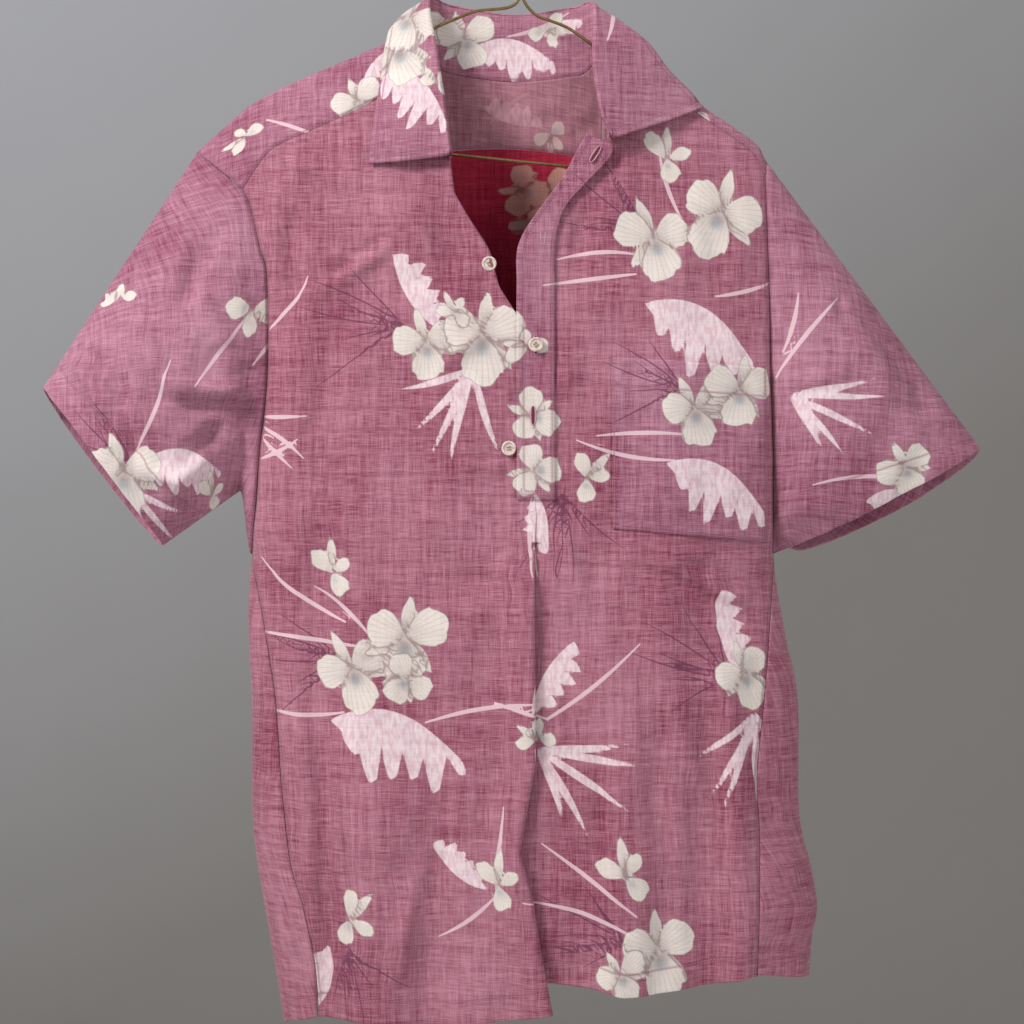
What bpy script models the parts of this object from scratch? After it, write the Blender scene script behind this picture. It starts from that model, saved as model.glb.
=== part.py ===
"""A short-sleeved pullover shirt hanging on a bent wire hanger.

Metres, +Z up, X to the viewer's right, the viewer on -Y. The origin is the inside top of the hook.
Tables are in millimetres. Every panel is a grid of points on one body surface, then given its wall.
"""

import math

import bmesh
import bpy
from mathutils import Vector

MM = 0.001
WALL = 1.2  # one layer of cloth
DOUBLE = 1.6  # two layers sewn together
SEAM = 0.3  # space between pieces that are sewn to each other
EDGE_GAP = 0.55  # the same, where an edge is curved
ARMHOLE_GAP = {"left": 0.42, "right": 0.55}
LIE = 0.2  # space under a piece that lies on a panel
WIRE = 2.5  # wire diameter
RIDGE_ROUND = 5.0  # how round the cloth goes over the wire
RIDGE_FALL = 75.0  # drop below the ridge in which the body opens out
SQUARE = 2.5  # squareness of the body's section
ARMPIT = -510.0
BUTTON_R, BUTTON_RIM, BUTTON_DISH = 5.6, 2.2, 0.9

# x : z of the top line of the cloth over the hanger, armhole to armhole
RIDGE = [(-254, -197), (-232, -177), (-212, -160), (-194, -150), (-171, -139), (-133, -123),
         (-105, -111), (-85, -103), (62, -113), (99, -135), (140, -161), (179, -188), (189, -203)]
# z : x of the left and right edge seen from the front (armhole seams above the armpit)
LEFT = [(-881, -185), (-848, -190), (-789, -200), (-741, -208), (-696, -211), (-624, -211),
        (-560, -214), (-510, -211), (-467, -206), (-430, -203), (-372, -197), (-297, -197),
        (-275, -202), (-229, -216), (-197, -254)]
RIGHT = [(-837, 222), (-808, 225), (-783, 229), (-752, 224), (-710, 215), (-622, 214),
         (-571, 204), (-510, 195), (-430, 193), (-372, 191), (-314, 190), (-228, 188), (-203, 189)]
# z : x of the side seams, where the back has come round to the front
SEAM_LEFT = [(-874, -155), (-824, -158), (-776, -168), (-748, -177), (-695, -184), (-620, -190),
             (-560, -200), (-510, -211)]
SEAM_RIGHT = [(-835, 177), (-733, 180), (-680, 178), (-623, 184), (-560, 190), (-510, 195)]
# z : half depth of the body in the middle, and what share of it stays at the armholes
DEPTH = [(-881, 62), (-740, 58), (-600, 52), (-500, 46), (-400, 42), (-200, 38)]
EDGE = [(-510, 0.0), (-490, 0.22), (-440, 0.42), (-330, 0.55), (-240, 0.85), (-200, 1.0)]
# x : z of the seam between the front and the yoke
YOKE_FRONT = [(-216, -229), (-195, -199), (-165, -184), (-134, -170), (-106, -156), (-78, -147),
              (60, -122), (98, -144), (139, -170), (177, -197), (188, -216)]
YOKE_BACK = [(-233, -215), (-3, -190), (188, -236)]
# x : z of the hem, the front left of the fold, the front right of it, and the back
HEM_LEFT = [(-177, -872), (-155, -862), (-53, -863), (1, -857), (18, -854)]
HEM_RIGHT = [(3, -830), (52, -835), (80, -841), (138, -835), (186, -828)]
HEM_BACK = [(-190, -874), (-155, -862), (0, -850), (160, -838), (178, -829), (225, -836)]
# z : x of the crease, the fold edge and its foot (above: edges and middle of the opening)
MIDDLE = [(-854, -29, 18, 22), (-816, -28, 11, 15), (-792, -28, 7, 11), (-767, -28, 3, 7),
          (-733, -27, -6, -2), (-667, -27, 6, 10), (-560, -27, 6, 10), (-520, -20, 7, 12),
          (-468, -5, 9.5, 24), (-140, -5, 9.5, 24)]
FOLD_HEIGHT = [(-854, 10), (-700, 8), (-560, 6), (-520, 0), (-140, 0)]
PLEAT_HALF, PLEAT_HEIGHT = 19.0, 4.0  # box pleat down the back
# hanging folds: x, half width, height outward, where it fades out (z), where it is full (z)
FOLDS_FRONT = [(-120, 42, 9, -560, -800), (-70, 24, -5, -520, -780), (70, 36, 8, -520, -760),
               (128, 30, -6, -540, -760), (-150, 26, -5, -260, -420), (110, 40, 4, -230, -330)]
FOLDS_BACK = [(-135, 36, 10, -420, -760), (-72, 30, -8, -400, -740), (66, 34, 9, -420, -760),
              (136, 34, -7, -400, -740)]
# levels of the front's rows, and how much each one slopes to the right of the middle
LEVELS = [(-300, -0.068), (-328, -0.068), (-356, -0.068), (-400, -0.03), (-440, 0), (-468, 0),
          (-500, 0.06), (ARMPIT, 0), (-545, 0), (-585, 0), (-625, 0), (-667, 0), (-700, 0),
          (-735, 0), (-767, 0), (-792, 0), (-812, 0)]
BACK_LEVELS = [-250, -290, -330, -372, -410, -440, -470, -492] + [level for level, _ in LEVELS[7:]]
# outline of the neck and the V, left seam down, slit, right edge up
OPENING = [(-86, -100), (-75, -144), (-61, -179), (-56, -209), (-53, -233), (-42, -252),
           (-26, -278), (-19, -305), (-7, -324), (8, -344), (8, -466), (11, -466), (11, -300),
           (20, -262), (38, -232), (60, -205), (67, -179), (61, -148), (61, -100)]
# collar: neck seam x z side | roll line x y z | outer edge x z side (side -1 front, 1 back, 0 ridge)
COLLAR = [
    (-57, -209, -1, -55, -40, -204, -118, -211, -1), (-63, -179, -1, -61, -35, -160, -116, -187, -1),
    (-74.5, -144, -1, -67, -22, -121, -110, -144, -1), (-83.5, -101, 0, -73, 2, -79, -103, -100, 0),
    (-66, -129, 1, -55, 18, -80, -84, -140, 1), (-4, -139, 1, -6, 23, -86, -6, -165, 1),
    (48, -133, 1, 40, 18, -81, 66, -150, 1), (60.6, -112, 0, 55, 2, -83, 88, -106, 0),
    (60.3, -148, -1, 54, -21, -130, 114, -134, -1), (68, -179, -1, 59, -35, -168, 131, -151, -1),
    (71, -203, -1, 66, -40, -190, 140, -163, -1)]
# yoke: x at its front seam, on the ridge, at its back seam; neck columns: x and z at the neck seam
YOKE_LEFT = [(-216, -254, -233), (-195, -225, -212), (-165, -180, -178), (-134, -140, -140),
             (-106, -108, -108), (-78, -86, -86)]
YOKE_NECK = [(-76, -118), (-66, -129), (-45, -135), (-22, -138), (-4, -139), (18, -137.5),
             (34, -135.5), (48, -133), (57, -124)]
YOKE_RIGHT = [(62, 63, 63), (98, 99, 99), (139, 140, 140), (177, 179, 175), (188, 189, 188)]
# buttonhole strip above its straight part: left x z, right x z, how far it stands out
LAPEL = [(42, -199, 66, -207, 6.0), (30, -222, 50, -224, 5.0), (12, -247, 33, -243, 3.5),
         (0, -265, 26, -262, 2.0), (-5, -280, 24, -280, 1.7)]
# wire from the hook's end, through the right arm, the bar and the left arm, to the twist
ARM_RIGHT = [(0, -60), (0, -75), (1.5, -80), (5, -85), (12, -91), (22, -94.5), (37, -101), (62, -118.5),
             (99, -139.5), (140, -166), (176, -191.6), (183, -201), (186.5, -209), (186, -218), (180, -223)]
ARM_LEFT = [(-190, -184.4), (-202, -182), (-208, -175), (-205, -166), (-194, -156.3), (-171, -144),
            (-133, -127.4), (-105, -115.4), (-85, -108.4), (-67, -99), (-52, -92.5), (-39, -87.5),
            (-30, -86), (-14, -84.5), (-6.5, -81.5), (-3.4, -77.5)]
HOOK_R = 19.0 + WIRE / 2
# sleeves: shoulder end of the hem, underarm end, hem depth, how far its front and back hang on,
# how far the fold below the armpit is drawn up
SLEEVES = {"left": ((-374, -380), (-280, -503), 30, 8, 2, 56), "right": ((356, -427), (208, -505), 27, 2, 15, 0)}
# columns of the back: shares of the way round, and offsets from the middle of the pleat
PLEAT_X = -12.0
BACK_SHARES = [0, 0.05, 0.11, 0.18, 0.26, 0.34, 0.42]
PLEAT_SHARES = [str(PLEAT_HALF + 2), str(PLEAT_HALF), "0", str(-PLEAT_HALF), str(-PLEAT_HALF - 2)]
BACK_COLUMNS = BACK_SHARES + PLEAT_SHARES + [1 - s for s in reversed(BACK_SHARES)]
BACK_ARMPIT_ROW = 1 + BACK_LEVELS.index(ARMPIT)
# rows of the front near the yoke: shares of the way down to the first level
TOP_SHARES = (0.0, 0.3, 0.65)
FRONT_ROWS = len(TOP_SHARES) + len(LEVELS) + 1
ARMPIT_ROW = len(TOP_SHARES) + [level for level, _ in LEVELS].index(ARMPIT)
# columns of the front: which span between two borders, and the share of the way over it
FRONT_COLUMNS = [(0, s) for s in (0, 0.05, 0.15, 0.29, 0.44, 0.59, 0.73, 0.87)]
CREASE = len(FRONT_COLUMNS)
FRONT_COLUMNS += [(1, 0), (1, 0.5), (2, 0), (3, 0), (3, 0.5)]
FOLD_EDGE, FOLD_FOOT = CREASE + 2, CREASE + 3
POCKET_FROM = len(FRONT_COLUMNS)
FRONT_COLUMNS += [(4, s) for s in (0, 0.2, 0.4, 0.6, 0.8)] + [(5, 0), (5, 1)]
# how far behind the front the button band lies
BAND_IN = 0.9


def at(table, key, column=1):
    """Value of a table's column at a key, straight between its rows."""
    rows = sorted(table)
    if key <= rows[0][0]:
        return rows[0][column]
    for low, high in zip(rows, rows[1:]):
        if key <= high[0]:
            share = (key - low[0]) / (high[0] - low[0])
            return low[column] + (high[column] - low[column]) * share
    return rows[-1][column]


def smooth(value):
    value = min(1.0, max(0.0, value))
    return value * value * (3 - 2 * value)


def half_depth(x, z):
    """Distance of the body surface from the hanger's plane, without folds."""
    left, right = at(LEFT, z), at(RIGHT, z)
    across = min(1.0, abs((2 * x - left - right) / (right - left)))
    edge = at(EDGE, z)
    lateral = edge + (1 - edge) * max(0.0, 1 - across**SQUARE) ** (1 / SQUARE)
    drop = max(0.0, at(RIDGE, x) - z)
    near = 1 - min(1.0, drop / RIDGE_ROUND)
    depth = RIDGE_ROUND * math.sqrt(1 - near * near)
    depth += (at(DEPTH, z) - RIDGE_ROUND) * (1 - math.exp(-drop / RIDGE_FALL))
    return depth * lateral


def fold_height(x, z, folds):
    total = 0.0
    for middle, half, height, none, full in folds:
        share = (x - middle) / half
        if abs(share) < 1:
            total += height * smooth((z - none) / (full - none)) * math.cos(share * math.pi / 2) ** 2
    return total


def body(x, z, side, out=0.0):
    """Point on the outside of the body, side -1 for the front and 1 for the back."""
    folds = FOLDS_FRONT if side < 0 else FOLDS_BACK
    return Vector((x, side * (half_depth(x, z) + fold_height(x, z, folds) + out), z))


def over(x, side, drop):
    """Point a given drop under the ridge, front or back."""
    return body(x, at(RIDGE, x) - drop, side)


def material(name, colour, rough=0.85, metal=0.0):
    made = bpy.data.materials.new(name)
    made.use_nodes = True
    shader = made.node_tree.nodes["Principled BSDF"]
    shader.inputs["Base Color"].default_value = (*colour, 1)
    shader.inputs["Roughness"].default_value = rough
    shader.inputs["Metallic"].default_value = metal
    return made


def place(name, mesh, paint):
    for face in mesh.polygons:
        face.use_smooth = True
    made = bpy.data.objects.new(name, mesh)
    mesh.materials.append(paint)
    SHIRT.objects.link(made)
    return made


def sheet(name, grid, wall, paint, closed=False, offset=-1.0, flip=False):
    """Cloth from a grid of points (rows of columns, None where there is no cloth), with its wall."""
    shape = bmesh.new()
    points = [[shape.verts.new(p * MM) if p else None for p in row] for row in grid]
    for upper, lower in zip(points, points[1:]):
        count = len(upper)
        for i in range(count if closed else count - 1):
            j = (i + 1) % count
            face = [upper[i], lower[i], lower[j], upper[j]]
            if all(face):
                shape.faces.new(reversed(face) if flip else face)
    mesh = bpy.data.meshes.new(name)
    shape.to_mesh(mesh)
    shape.free()
    made = place(name, mesh, paint)
    solid = made.modifiers.new("wall", "SOLIDIFY")
    solid.thickness = wall * MM
    solid.offset = offset
    solid.use_even_offset = True
    return made


def through(points, steps):
    """Smooth line through points of any width, the given number of steps between two of them."""
    line = []
    for i in range(len(points) - 1):
        a, b, c, d = (points[min(max(k, 0), len(points) - 1)] for k in (i - 1, i, i + 1, i + 2))
        for step in range(steps):
            t = step / steps
            line.append(tuple(
                0.5 * (2 * q + (r - p) * t + (2 * p - 5 * q + 4 * r - s) * t * t + (3 * q - p - 3 * r + s) * t**3)
                for p, q, r, s in zip(a, b, c, d)))
    return line + [tuple(points[-1])]


def front_x(column, z):
    """x of a column of the front: side seam, crease, fold edge and its foot, pocket, side seam."""
    left = at(SEAM_LEFT if z < ARMPIT else LEFT, z)
    right = at(SEAM_RIGHT if z < ARMPIT else RIGHT, z)
    crease, edge, foot = (at(MIDDLE, z, k) for k in (1, 2, 3))
    pocket_left, pocket_right = 67.0, right - 6
    stops = [left, crease, edge, foot, pocket_left, pocket_right, right]
    span, share = FRONT_COLUMNS[column]
    return stops[span] + (stops[span + 1] - stops[span]) * share



def front_z(row, column, x):
    """z of a row of the front: a share of the way from the yoke, a level, or the hem."""
    first = LEVELS[0][0] + LEVELS[0][1] * max(0.0, x)
    if row < len(TOP_SHARES):
        top = at(YOKE_FRONT, x) - EDGE_GAP - (0.5 if x > 180 else 0.0)
        return top + (first - top) * TOP_SHARES[row]
    row -= len(TOP_SHARES)
    if row < len(LEVELS):
        return LEVELS[row][0] + LEVELS[row][1] * max(0.0, x)
    return at(HEM_LEFT if column <= FOLD_EDGE else HEM_RIGHT, x)



def front_point(row, column, out=0.0):
    z = -300.0
    for _ in range(15):
        x = front_x(column, z)
        z = front_z(row, column, x)
    raised = at(FOLD_HEIGHT, z) * {FOLD_EDGE: 1.0, FOLD_EDGE - 1: 0.85}.get(column, 0.0)
    return body(x, z, -1, raised + out)


def back_point(row, column, out=0.0):
    """Point of the back: columns run by angle from the right seam round behind to the left seam."""
    x, side = 0.0, 1
    for _ in range(15):
        if row == 0:
            z = at(YOKE_BACK, x) - EDGE_GAP
        else:
            z = (BACK_LEVELS + [at(HEM_BACK, x)])[row - 1]
        left, right = at(LEFT, z), at(RIGHT, z)
        middle, half = (left + right) / 2, (right - left) / 2
        share = BACK_COLUMNS[column]
        if isinstance(share, str):
            x = PLEAT_X + float(share)
            continue
        turn = [0.0, 0.0]
        if z < ARMPIT:
            for k, edge in enumerate((at(SEAM_RIGHT, z) + EDGE_GAP, at(SEAM_LEFT, z) - EDGE_GAP)):
                across = min(1.0, abs(edge - middle) / half)
                turn[k] = math.acos(across ** (SQUARE / 2))
        angle = -turn[0] + (math.pi + turn[0] + turn[1]) * share
        side = 1 if -1e-9 <= angle <= math.pi + 1e-9 else -1
        x = middle + half * math.copysign(abs(math.cos(angle)) ** (2 / SQUARE), math.cos(angle))
    raised = PLEAT_HEIGHT if isinstance(share, str) and abs(float(share)) <= PLEAT_HALF else 0.0
    if row == 0 or z > -200:
        raised = 0.0
    point = body(x, z, side, raised + out)
    if z == ARMPIT and share in (0, 1):
        point.y += EDGE_GAP
    return point



def yoke_grid():
    """Rows from the front seam over the ridge to the back seam. The neck columns start behind it."""
    before, behind = (1, 0.6, 0.3, 0.1), (0, 0.06, 0.2, 0.5, 1)
    columns = []
    for kind, table in (("side", YOKE_LEFT), ("neck", YOKE_NECK), ("side", YOKE_RIGHT)):
        for entry in table:
            line = []
            if kind == "side":
                front, ridge, back = entry
                drop = at(RIDGE, front) - at(YOKE_FRONT, front)
                line = [over(ridge + (front - ridge) * s, -1, drop * s) for s in before]
                drop = at(RIDGE, back) - at(YOKE_BACK, back)
                line += [over(ridge + (back - ridge) * s, 1, drop * s) for s in behind]
            else:
                x, z = entry
                end = at(YOKE_BACK, x)
                line = [None] * len(before)
                line += [body(x, z + (end - z) * s, 1) for s in behind]
            columns.append(line)
    return [list(row) for row in zip(*columns)]


def armhole(side, yoke, front, back):
    """Closed ring of points from the ridge down the front, round the armpit and up the back."""
    end = 0 if side == "left" else -1
    ridge_row = len(yoke) - 5
    ring = [yoke[r][end] for r in range(ridge_row, -1, -1)]
    ring += [front[r][end] for r in range(1, ARMPIT_ROW + 1)]
    other = -1 if side == "left" else 0
    ring += [back[r][other] for r in range(BACK_ARMPIT_ROW - 1, 0, -1)]
    ring += [yoke[r][end] for r in range(len(yoke) - 1, ridge_row, -1)]
    return ring, ridge_row + ARMPIT_ROW


def sleeve_grid(side, ring, bottom):
    """Rings from the armhole to the hem: the same share of the way round front and back."""
    (top_x, top_z), (low_x, low_z), depth, hang_front, hang_back, drawn = SLEEVES[side]
    sign = -1 if side == "left" else 1
    top, low = Vector((top_x, 0, top_z)), Vector((low_x, 0, low_z))
    across = (low - top).normalized()
    along = Vector((-across.z * sign * -1, 0, across.x * sign * -1))
    if along.z > 0:
        along = -along
    lengths = [0.0]
    for a, b in zip(ring, ring[1:] + ring[:1]):
        lengths.append(lengths[-1] + (b - a).length)
    grid = []
    for share in (0, 0.02, 0.12, 0.3, 0.5, 0.7, 0.87, 1):
        row = []
        for i, start in enumerate(ring):
            if i <= bottom:
                angle = math.pi * lengths[i] / lengths[bottom]
            else:
                rest = lengths[-1] - lengths[bottom]
                angle = math.pi * (1 + (lengths[i] - lengths[bottom]) / rest)
            wave = math.sin(angle)
            end = top + (low - top) * (1 - math.cos(angle)) / 2
            end += Vector((0, -depth * wave, 0)) + along * abs(wave) * (hang_front if wave > 0 else hang_back)
            point = start + Vector((sign * ARMHOLE_GAP[side], 0, 0))
            point = point.lerp(end, share) if share != 0.02 else point + Vector((sign * 3, 0, 0))
            point.y -= 16 * math.sin(math.pi * share) * wave
            point.z += drawn * (1 - share) * smooth((share - 0.02) / 0.12) * math.sin(angle / 2) ** 6
            row.append(point)
        grid.append(row)
    return grid


def collar_columns():
    """Neck, roll and edge points along the collar, from the left front end round to the right."""
    columns = []
    for entry in through(COLLAR, 2):
        neck_x, neck_z, neck_side, roll_x, roll_y, roll_z, edge_x, edge_z, edge_side = entry
        neck = Vector((neck_x, 0, neck_z))
        if abs(neck_side) > 0.2:
            neck.y = math.copysign(half_depth(neck_x, neck_z) + LIE + 0.9, neck_side)
        roll = Vector((roll_x, roll_y, roll_z))
        edge = Vector((edge_x, 0, edge_z))
        if abs(edge_side) > 0.2:
            edge.y = math.copysign(half_depth(edge_x, edge_z) + 5, edge_side)
        columns.append((neck, roll, edge))
    return columns


def stand_grid(columns):
    rows = [[], [], []]
    for neck, roll, _ in columns:
        for k, share in enumerate((0, 0.5, 1)):
            rows[k].append(neck.lerp(roll, share))
    return rows


def fall_grid(columns):
    rows = [[] for _ in range(6)]
    for neck, roll, edge in columns:
        up = (roll - neck).normalized()
        out = Vector((roll.x + 2, roll.y * 1.6, 0))
        out = (out - up * out.dot(up)).normalized()
        start = roll + up * 2.1
        knee = roll + out * 4.2 - up * 1.2
        rows[0].append(start - out * 0.6)
        rows[1].append(start + out * 2.2 - up * 0.1)
        rows[2].append(knee)
        for k, share in enumerate((0.35, 0.7, 1.0)):
            bulge = out * 3.0 * math.sin(math.pi * share)
            rows[3 + k].append(knee.lerp(edge, share) + bulge)
    return rows


def placket_grid():
    rows = [[body(lx + (rx - lx) * s, lz + (rz - lz) * s, -1, out) for s in (0, 0.25, 0.5, 1)]
            for lx, lz, rx, rz, out in LAPEL]
    last = len(TOP_SHARES) + [level for level, _ in LEVELS].index(-468)
    for row in range(len(TOP_SHARES), last + 1):
        rows.append([front_point(row, c, LIE) for c in range(CREASE, FOLD_FOOT + 1)])
    return rows


def band_grid():
    """Facing behind the left edge of the opening."""
    edge = OPENING[3:11]
    rows = []
    for x, z in edge:
        rows.append([body(x + move, z, -1, -WALL - BAND_IN) for move in (-26, -12, 1.0)])
    return rows



def pocket_grid():
    rows = range(len(TOP_SHARES) + 2, len(TOP_SHARES) + 7)
    columns = range(POCKET_FROM, POCKET_FROM + 6)
    return [[front_point(r, c, LIE) for c in columns] for r in rows]


def button(name, x, z, paint, out):
    """Rimmed disc seated on the cloth."""
    profile = [(0, 0), (BUTTON_R - 0.4, 0), (BUTTON_R, 0.6), (BUTTON_R, BUTTON_RIM - 0.4),
               (BUTTON_R - 0.5, BUTTON_RIM), (BUTTON_R - 1.3, BUTTON_RIM), (BUTTON_R - 1.9, BUTTON_RIM - BUTTON_DISH),
               (0, BUTTON_RIM - BUTTON_DISH)]
    here = body(x, z, -1, out)
    across = (body(x + 2, z, -1, out) - body(x - 2, z, -1, out)).normalized()
    down = (body(x, z - 2, -1, out) - body(x, z + 2, -1, out)).normalized()
    normal = down.cross(across).normalized()
    if normal.y > 0:
        normal = -normal
    mesh = bpy.data.meshes.new(name)
    mesh.from_pydata([(r * MM, 0, h * MM) for r, h in profile], [(k, k + 1) for k in range(len(profile) - 1)], [])
    made = place(name, mesh, paint)
    made.location = here * MM
    made.rotation_euler = normal.to_track_quat("Z", "X").to_euler()
    turned = made.modifiers.new("turned", "SCREW")
    turned.steps = turned.render_steps = 28
    turned.use_merge_vertices = True
    turned.merge_threshold = 1e-5
    turned.use_normal_calculate = True
    return made


def cut_opening(front):
    """Neck, V and slit cut through the front by a prism."""
    shape = bmesh.new()
    near = [shape.verts.new(Vector((x, -110, z)) * MM) for x, z in OPENING]
    far = [shape.verts.new(Vector((x, 12, z)) * MM) for x, z in OPENING]
    shape.faces.new(near)
    shape.faces.new(reversed(far))
    for i in range(len(near)):
        j = (i + 1) % len(near)
        shape.faces.new([near[j], near[i], far[i], far[j]])
    bmesh.ops.recalc_face_normals(shape, faces=shape.faces)
    mesh = bpy.data.meshes.new("opening_cutter")
    shape.to_mesh(mesh)
    shape.free()
    cutter = bpy.data.objects.new("opening_cutter", mesh)
    CUTTERS.objects.link(cutter)
    cutter.hide_render = True
    cutter.display_type = "WIRE"
    cut = front.modifiers.new("opening", "BOOLEAN")
    cut.operation = "DIFFERENCE"
    cut.solver = "EXACT"
    cut.object = cutter


def hanger(paint):
    """One wire: cut end on the twist, left arm, bar, right arm, neck, hook."""
    twist = [Vector((2.85 * math.cos(a), -2.85 * math.sin(a), -62 - 3.4 * (2 * math.pi * 2.5 - t) / (2 * math.pi)))
             for t in (k * math.pi / 8 for k in range(41)) for a in (t,)]
    arm_left = [Vector((x, 0, z)) for x, z in through(ARM_LEFT, 3)]
    arm_right = [Vector((x, 0, z)) for x, z in through(ARM_RIGHT, 3)]
    centre = Vector((0, 0, WIRE / 2 - HOOK_R))
    hook = [centre + Vector((math.cos(a), 0, math.sin(a))) * HOOK_R
            for a in (math.radians(d) for d in range(-55, 206, 8))]
    neck = [Vector((x, 0, z)) for x, z in through([(0, -56), (0, -50), (1.5, -44.5), (6.5, -39.5)], 3)]
    turned = [p for p in twist if p.z > -76]
    turned.sort(key=lambda p: p.z)
    line = list(reversed(turned)) + list(reversed(arm_left)) + list(reversed(arm_right)) + neck + hook
    curve = bpy.data.curves.new("hanger", "CURVE")
    curve.dimensions = "3D"
    spline = curve.splines.new("POLY")
    kept = [line[0]]
    for point in line[1:]:
        if (point - kept[-1]).length > 0.8:
            kept.append(point)
    spline.points.add(len(kept) - 1)
    for target, point in zip(spline.points, kept):
        target.co = (*(point * MM), 1)
    curve.bevel_depth = WIRE / 2 * MM
    curve.bevel_resolution = 2
    curve.use_fill_caps = True
    curve.materials.append(paint)
    made = bpy.data.objects.new("hanger", curve)
    SHIRT.objects.link(made)
    return made


for old in list(bpy.data.objects):
    bpy.data.objects.remove(old, do_unlink=True)
SHIRT = bpy.data.collections.new("hawaiian_shirt")
bpy.context.scene.collection.children.link(SHIRT)
CUTTERS = bpy.data.collections.new("cutters")
bpy.context.scene.collection.children.link(CUTTERS)

CLOTH = material("printed_cloth", (0.44, 0.13, 0.21))
CLOTH_LIGHT = material("printed_cloth_light", (0.50, 0.20, 0.28))
BRASS = material("wire", (0.62, 0.48, 0.22), 0.35, 1.0)
PEARL = material("pearl", (0.72, 0.68, 0.60), 0.3)

hanger(BRASS)
front = [[front_point(r, c) for c in range(len(FRONT_COLUMNS))] for r in range(FRONT_ROWS)]
back = [[back_point(r, c) for c in range(len(BACK_COLUMNS))] for r in range(len(BACK_LEVELS) + 2)]
yoke = yoke_grid()
cut_opening(sheet("front", front, WALL, CLOTH))
sheet("back", back, WALL, CLOTH)
sheet("yoke", yoke, DOUBLE, CLOTH_LIGHT, flip=True)
for side in ("left", "right"):
    ring, bottom = armhole(side, yoke, front, back)
    sheet(f"sleeve_{side}", sleeve_grid(side, ring, bottom), WALL, CLOTH_LIGHT, closed=True, flip=side == "right")
collar = collar_columns()
sheet("collar_stand", stand_grid(collar), 1.4, CLOTH, offset=0.0)
sheet("collar_fall", fall_grid(collar), 1.4, CLOTH_LIGHT, offset=0.0)
sheet("placket", placket_grid(), DOUBLE, CLOTH_LIGHT, offset=1.0)
sheet("button_band", band_grid(), WALL, CLOTH)
sheet("pocket", pocket_grid(), WALL, CLOTH_LIGHT, offset=1.0)
button("button_1", -26.0, -288.0, PEARL, 0.1)
button("button_2", 9.5, -350.0, PEARL, LIE + DOUBLE + 0.15)
button("button_3", -11.0, -429.0, PEARL, 0.2)
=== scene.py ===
"""Looks of a floral short-sleeved pullover shirt on a bent wire hanger.

Sizes are in millimetres inside this file and become metres when a mesh is made. X runs to the
viewer's right, Z up and -Y towards the viewer. The origin is the inside top of the hanger's hook.
"""

import logging
import math
from collections.abc import Callable, Sequence
from dataclasses import dataclass, field
from enum import Enum

import bpy
import numpy as np
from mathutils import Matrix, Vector


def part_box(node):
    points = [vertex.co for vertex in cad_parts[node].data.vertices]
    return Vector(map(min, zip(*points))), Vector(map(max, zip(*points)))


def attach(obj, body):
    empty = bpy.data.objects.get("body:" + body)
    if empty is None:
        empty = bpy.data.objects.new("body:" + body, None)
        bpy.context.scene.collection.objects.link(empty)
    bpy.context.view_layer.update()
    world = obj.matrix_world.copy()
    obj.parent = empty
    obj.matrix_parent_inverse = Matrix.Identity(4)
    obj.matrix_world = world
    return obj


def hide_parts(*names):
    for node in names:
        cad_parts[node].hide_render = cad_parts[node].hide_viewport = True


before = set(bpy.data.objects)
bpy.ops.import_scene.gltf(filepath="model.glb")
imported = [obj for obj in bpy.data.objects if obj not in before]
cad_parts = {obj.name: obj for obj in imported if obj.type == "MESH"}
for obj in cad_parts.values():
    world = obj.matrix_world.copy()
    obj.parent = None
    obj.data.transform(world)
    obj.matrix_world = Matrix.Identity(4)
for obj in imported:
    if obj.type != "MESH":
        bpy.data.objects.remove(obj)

LOG = logging.getLogger("shirt")
MM = 0.001
GOLDEN_TURN = 2.399
FAR = 20.0
Array = np.ndarray
Point = tuple[float, ...]
Colour = tuple[int, int, int]
Placed = tuple["Motif", float, float, float, float]
Socket = bpy.types.NodeSocket


class Side(Enum):
    """Which face of the hanging shirt a point is on."""

    FRONT = -1
    BACK = 1


class Motif(Enum):
    """Shapes that the print is put together from."""

    ORCHID = "orchid"
    BUD = "bud"
    TORN = "torn"
    LEAF = "leaf"
    FAN = "fan"
    STEM = "stem"
    HAIR = "hair"


# ---------------------------------------------------------------- small helpers


def srgb(red: int, green: int, blue: int) -> tuple[float, float, float, float]:
    """Linear colour of an 8-bit screen colour.

    Args:
        red, green, blue: screen values from 0 to 255.

    Returns:
        The linear colour with full alpha.
    """
    linear = [((c / 255 + 0.055) / 1.055) ** 2.4 if c > 10 else c / 3295 for c in (red, green, blue)]
    return (linear[0], linear[1], linear[2], 1.0)


def through(points: Sequence[Point], steps: int) -> Array:
    """Smooth line through points.

    Args:
        points: the points, each of any width.
        steps: how many steps lie between two of them.

    Returns:
        An array with one row per point of the line.
    """
    p = np.array(points, float)
    p = np.vstack([2 * p[0] - p[1], p, 2 * p[-1] - p[-2]])
    t = np.arange(steps)[:, None] / steps
    rows = [
        0.5 * (2 * b + (c - a) * t + (2 * a - 5 * b + 4 * c - d) * t**2 + (3 * b - a - 3 * c + d) * t**3)
        for a, b, c, d in zip(p, p[1:], p[2:], p[3:])
    ]
    return np.vstack([*rows, p[-2:-1]])


def curve(table: Sequence[Point], column: int = 1, soft: bool = True) -> Callable[[Array], Array]:
    """Function that reads a table's column at any key.

    Args:
        table: rows whose first value is the key.
        column: the column to read.
        soft: whether to round the corners between the rows.

    Returns:
        A function from an array of keys to an array of values.
    """
    rows = sorted((row[0], row[column]) for row in table)
    line = through(rows, 16) if soft else np.array(rows, float)
    order = np.argsort(line[:, 0], kind="stable")
    keys, values = line[order, 0], line[order, 1]
    return lambda key: np.interp(key, keys, values)


def soft_step(value: Array) -> Array:
    """Smooth rise from 0 to 1."""
    value = np.clip(value, 0, 1)
    return value * value * (3 - 2 * value)


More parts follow.
